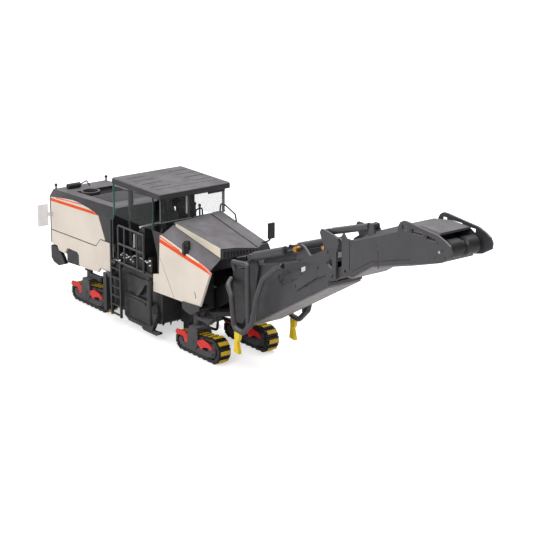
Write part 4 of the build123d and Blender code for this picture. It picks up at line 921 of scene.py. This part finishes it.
# %% [markdown]
# A display model stands on white paper with no horizon. The paper could be lit until it
# turns white, but then the model loses its shade. So the surroundings show white where the
# camera looks at them, and give only a weak light where they shine on the model.


# %% White surroundings
def seen_directly(tree):
    """One for rays from the camera, straight or through clear plastic."""
    path = tree.node("ShaderNodeLightPath").outputs
    return tree.math("MAXIMUM", path["Is Camera Ray"], path["Is Transmission Ray"])


AMBIENT, WHITE = 0.30, 1.0
world = bpy.data.worlds.new("studio")
bpy.context.scene.world = world
world.use_nodes = True
world.node_tree.nodes.clear()
tree = Tree(world.node_tree)
background = tree.node("ShaderNodeBackground")
background.inputs["Color"].default_value = (1.0, 1.0, 1.0, 1.0)
tree.feed(background.inputs["Strength"], tree.ramp(seen_directly(tree), 0.0, 1.0, AMBIENT, WHITE))
output = tree.node("ShaderNodeOutputWorld")
tree.tree.links.new(background.outputs[0], output.inputs[0])
print("surroundings:", world.name, "with ambient light", AMBIENT)

# %% [markdown]
# The floor is matt, so it takes the soft shadow under the tracks. A glow that only the
# camera sees lifts the rest of it towards white. It lies a hair below the track plane, so
# that the two surfaces don't fight over the same pixels.

# %% Floor
FLOOR_HALF, FLOOR_DROP = 2.2, 0.05 * MM
FLOOR_PALE, FLOOR_GLOW = 0.9, 0.55
floor_mesh = bpy.data.meshes.new("floor")
corners = [(-FLOOR_HALF, -FLOOR_HALF, 0), (FLOOR_HALF, -FLOOR_HALF, 0),
           (FLOOR_HALF, FLOOR_HALF, 0), (-FLOOR_HALF, FLOOR_HALF, 0)]
floor_mesh.from_pydata(corners, [], [(0, 1, 2, 3)])
floor = bpy.data.objects.new("floor", floor_mesh)
floor.location.z = -FLOOR_DROP
bpy.context.scene.collection.objects.link(floor)
made = bpy.data.materials.new("floor")
made.use_nodes = True
made.node_tree.nodes.clear()
tree = Tree(made.node_tree)
matt = tree.node("ShaderNodeBsdfDiffuse")
matt.inputs["Color"].default_value = (FLOOR_PALE, FLOOR_PALE, FLOOR_PALE, 1.0)
glow = tree.node("ShaderNodeEmission")
glow.inputs["Strength"].default_value = FLOOR_GLOW
both = tree.node("ShaderNodeAddShader")
chosen = tree.node("ShaderNodeMixShader")
output = tree.node("ShaderNodeOutputMaterial")
tree.feed(both.inputs[0], matt.outputs[0])
tree.feed(both.inputs[1], glow.outputs[0])
tree.feed(chosen.inputs[0], seen_directly(tree))
tree.feed(chosen.inputs[1], matt.outputs[0])
tree.feed(chosen.inputs[2], both.outputs[0])
tree.feed(output.inputs[0], chosen.outputs[0])
floor_mesh.materials.append(made)
print("floor edge in m:", 2 * FLOOR_HALF)

# %% [markdown]
# Three soft lamps light the model. A large one hangs over it, the main one stands to the
# left of the camera and faces the machine's right side, and a weak one farther left opens
# the shade between the tracks. Large square lamps give the wide, soft-edged shadows of a
# studio; a small lamp would draw hard ones.


# %% Lamps
def soft_lamp(name, place, aim, size, power):
    """Square lamp at a place, turned towards its aim."""
    lamp_data = bpy.data.lights.new(name, "AREA")
    lamp_data.shape = "SQUARE"
    lamp_data.size = size
    lamp_data.energy = power
    lamp = bpy.data.objects.new(name, lamp_data)
    bpy.context.scene.collection.objects.link(lamp)
    lamp.location = place
    lamp.rotation_euler = (Vector(aim) - Vector(place)).to_track_quat("-Z", "Y").to_euler()


# Each lamp: name, place and aim in metres, edge length in metres, power in watts.
LAMPS = (("overhead", (0.1, 0.25, 1.2), (0.0, 0.0, 0.05), 1.1, 11.0),
         ("key", (0.5, -1.1, 0.8), (0.0, 0.0, 0.05), 0.8, 9.0),
         ("fill", (-0.9, -0.8, 0.5), (-0.05, 0.0, 0.04), 0.8, 2.5))
for lamp in LAMPS:
    soft_lamp(*lamp)
bpy.context.scene.view_settings.view_transform = "Standard"
print("lamps:", [lamp[0] for lamp in LAMPS])
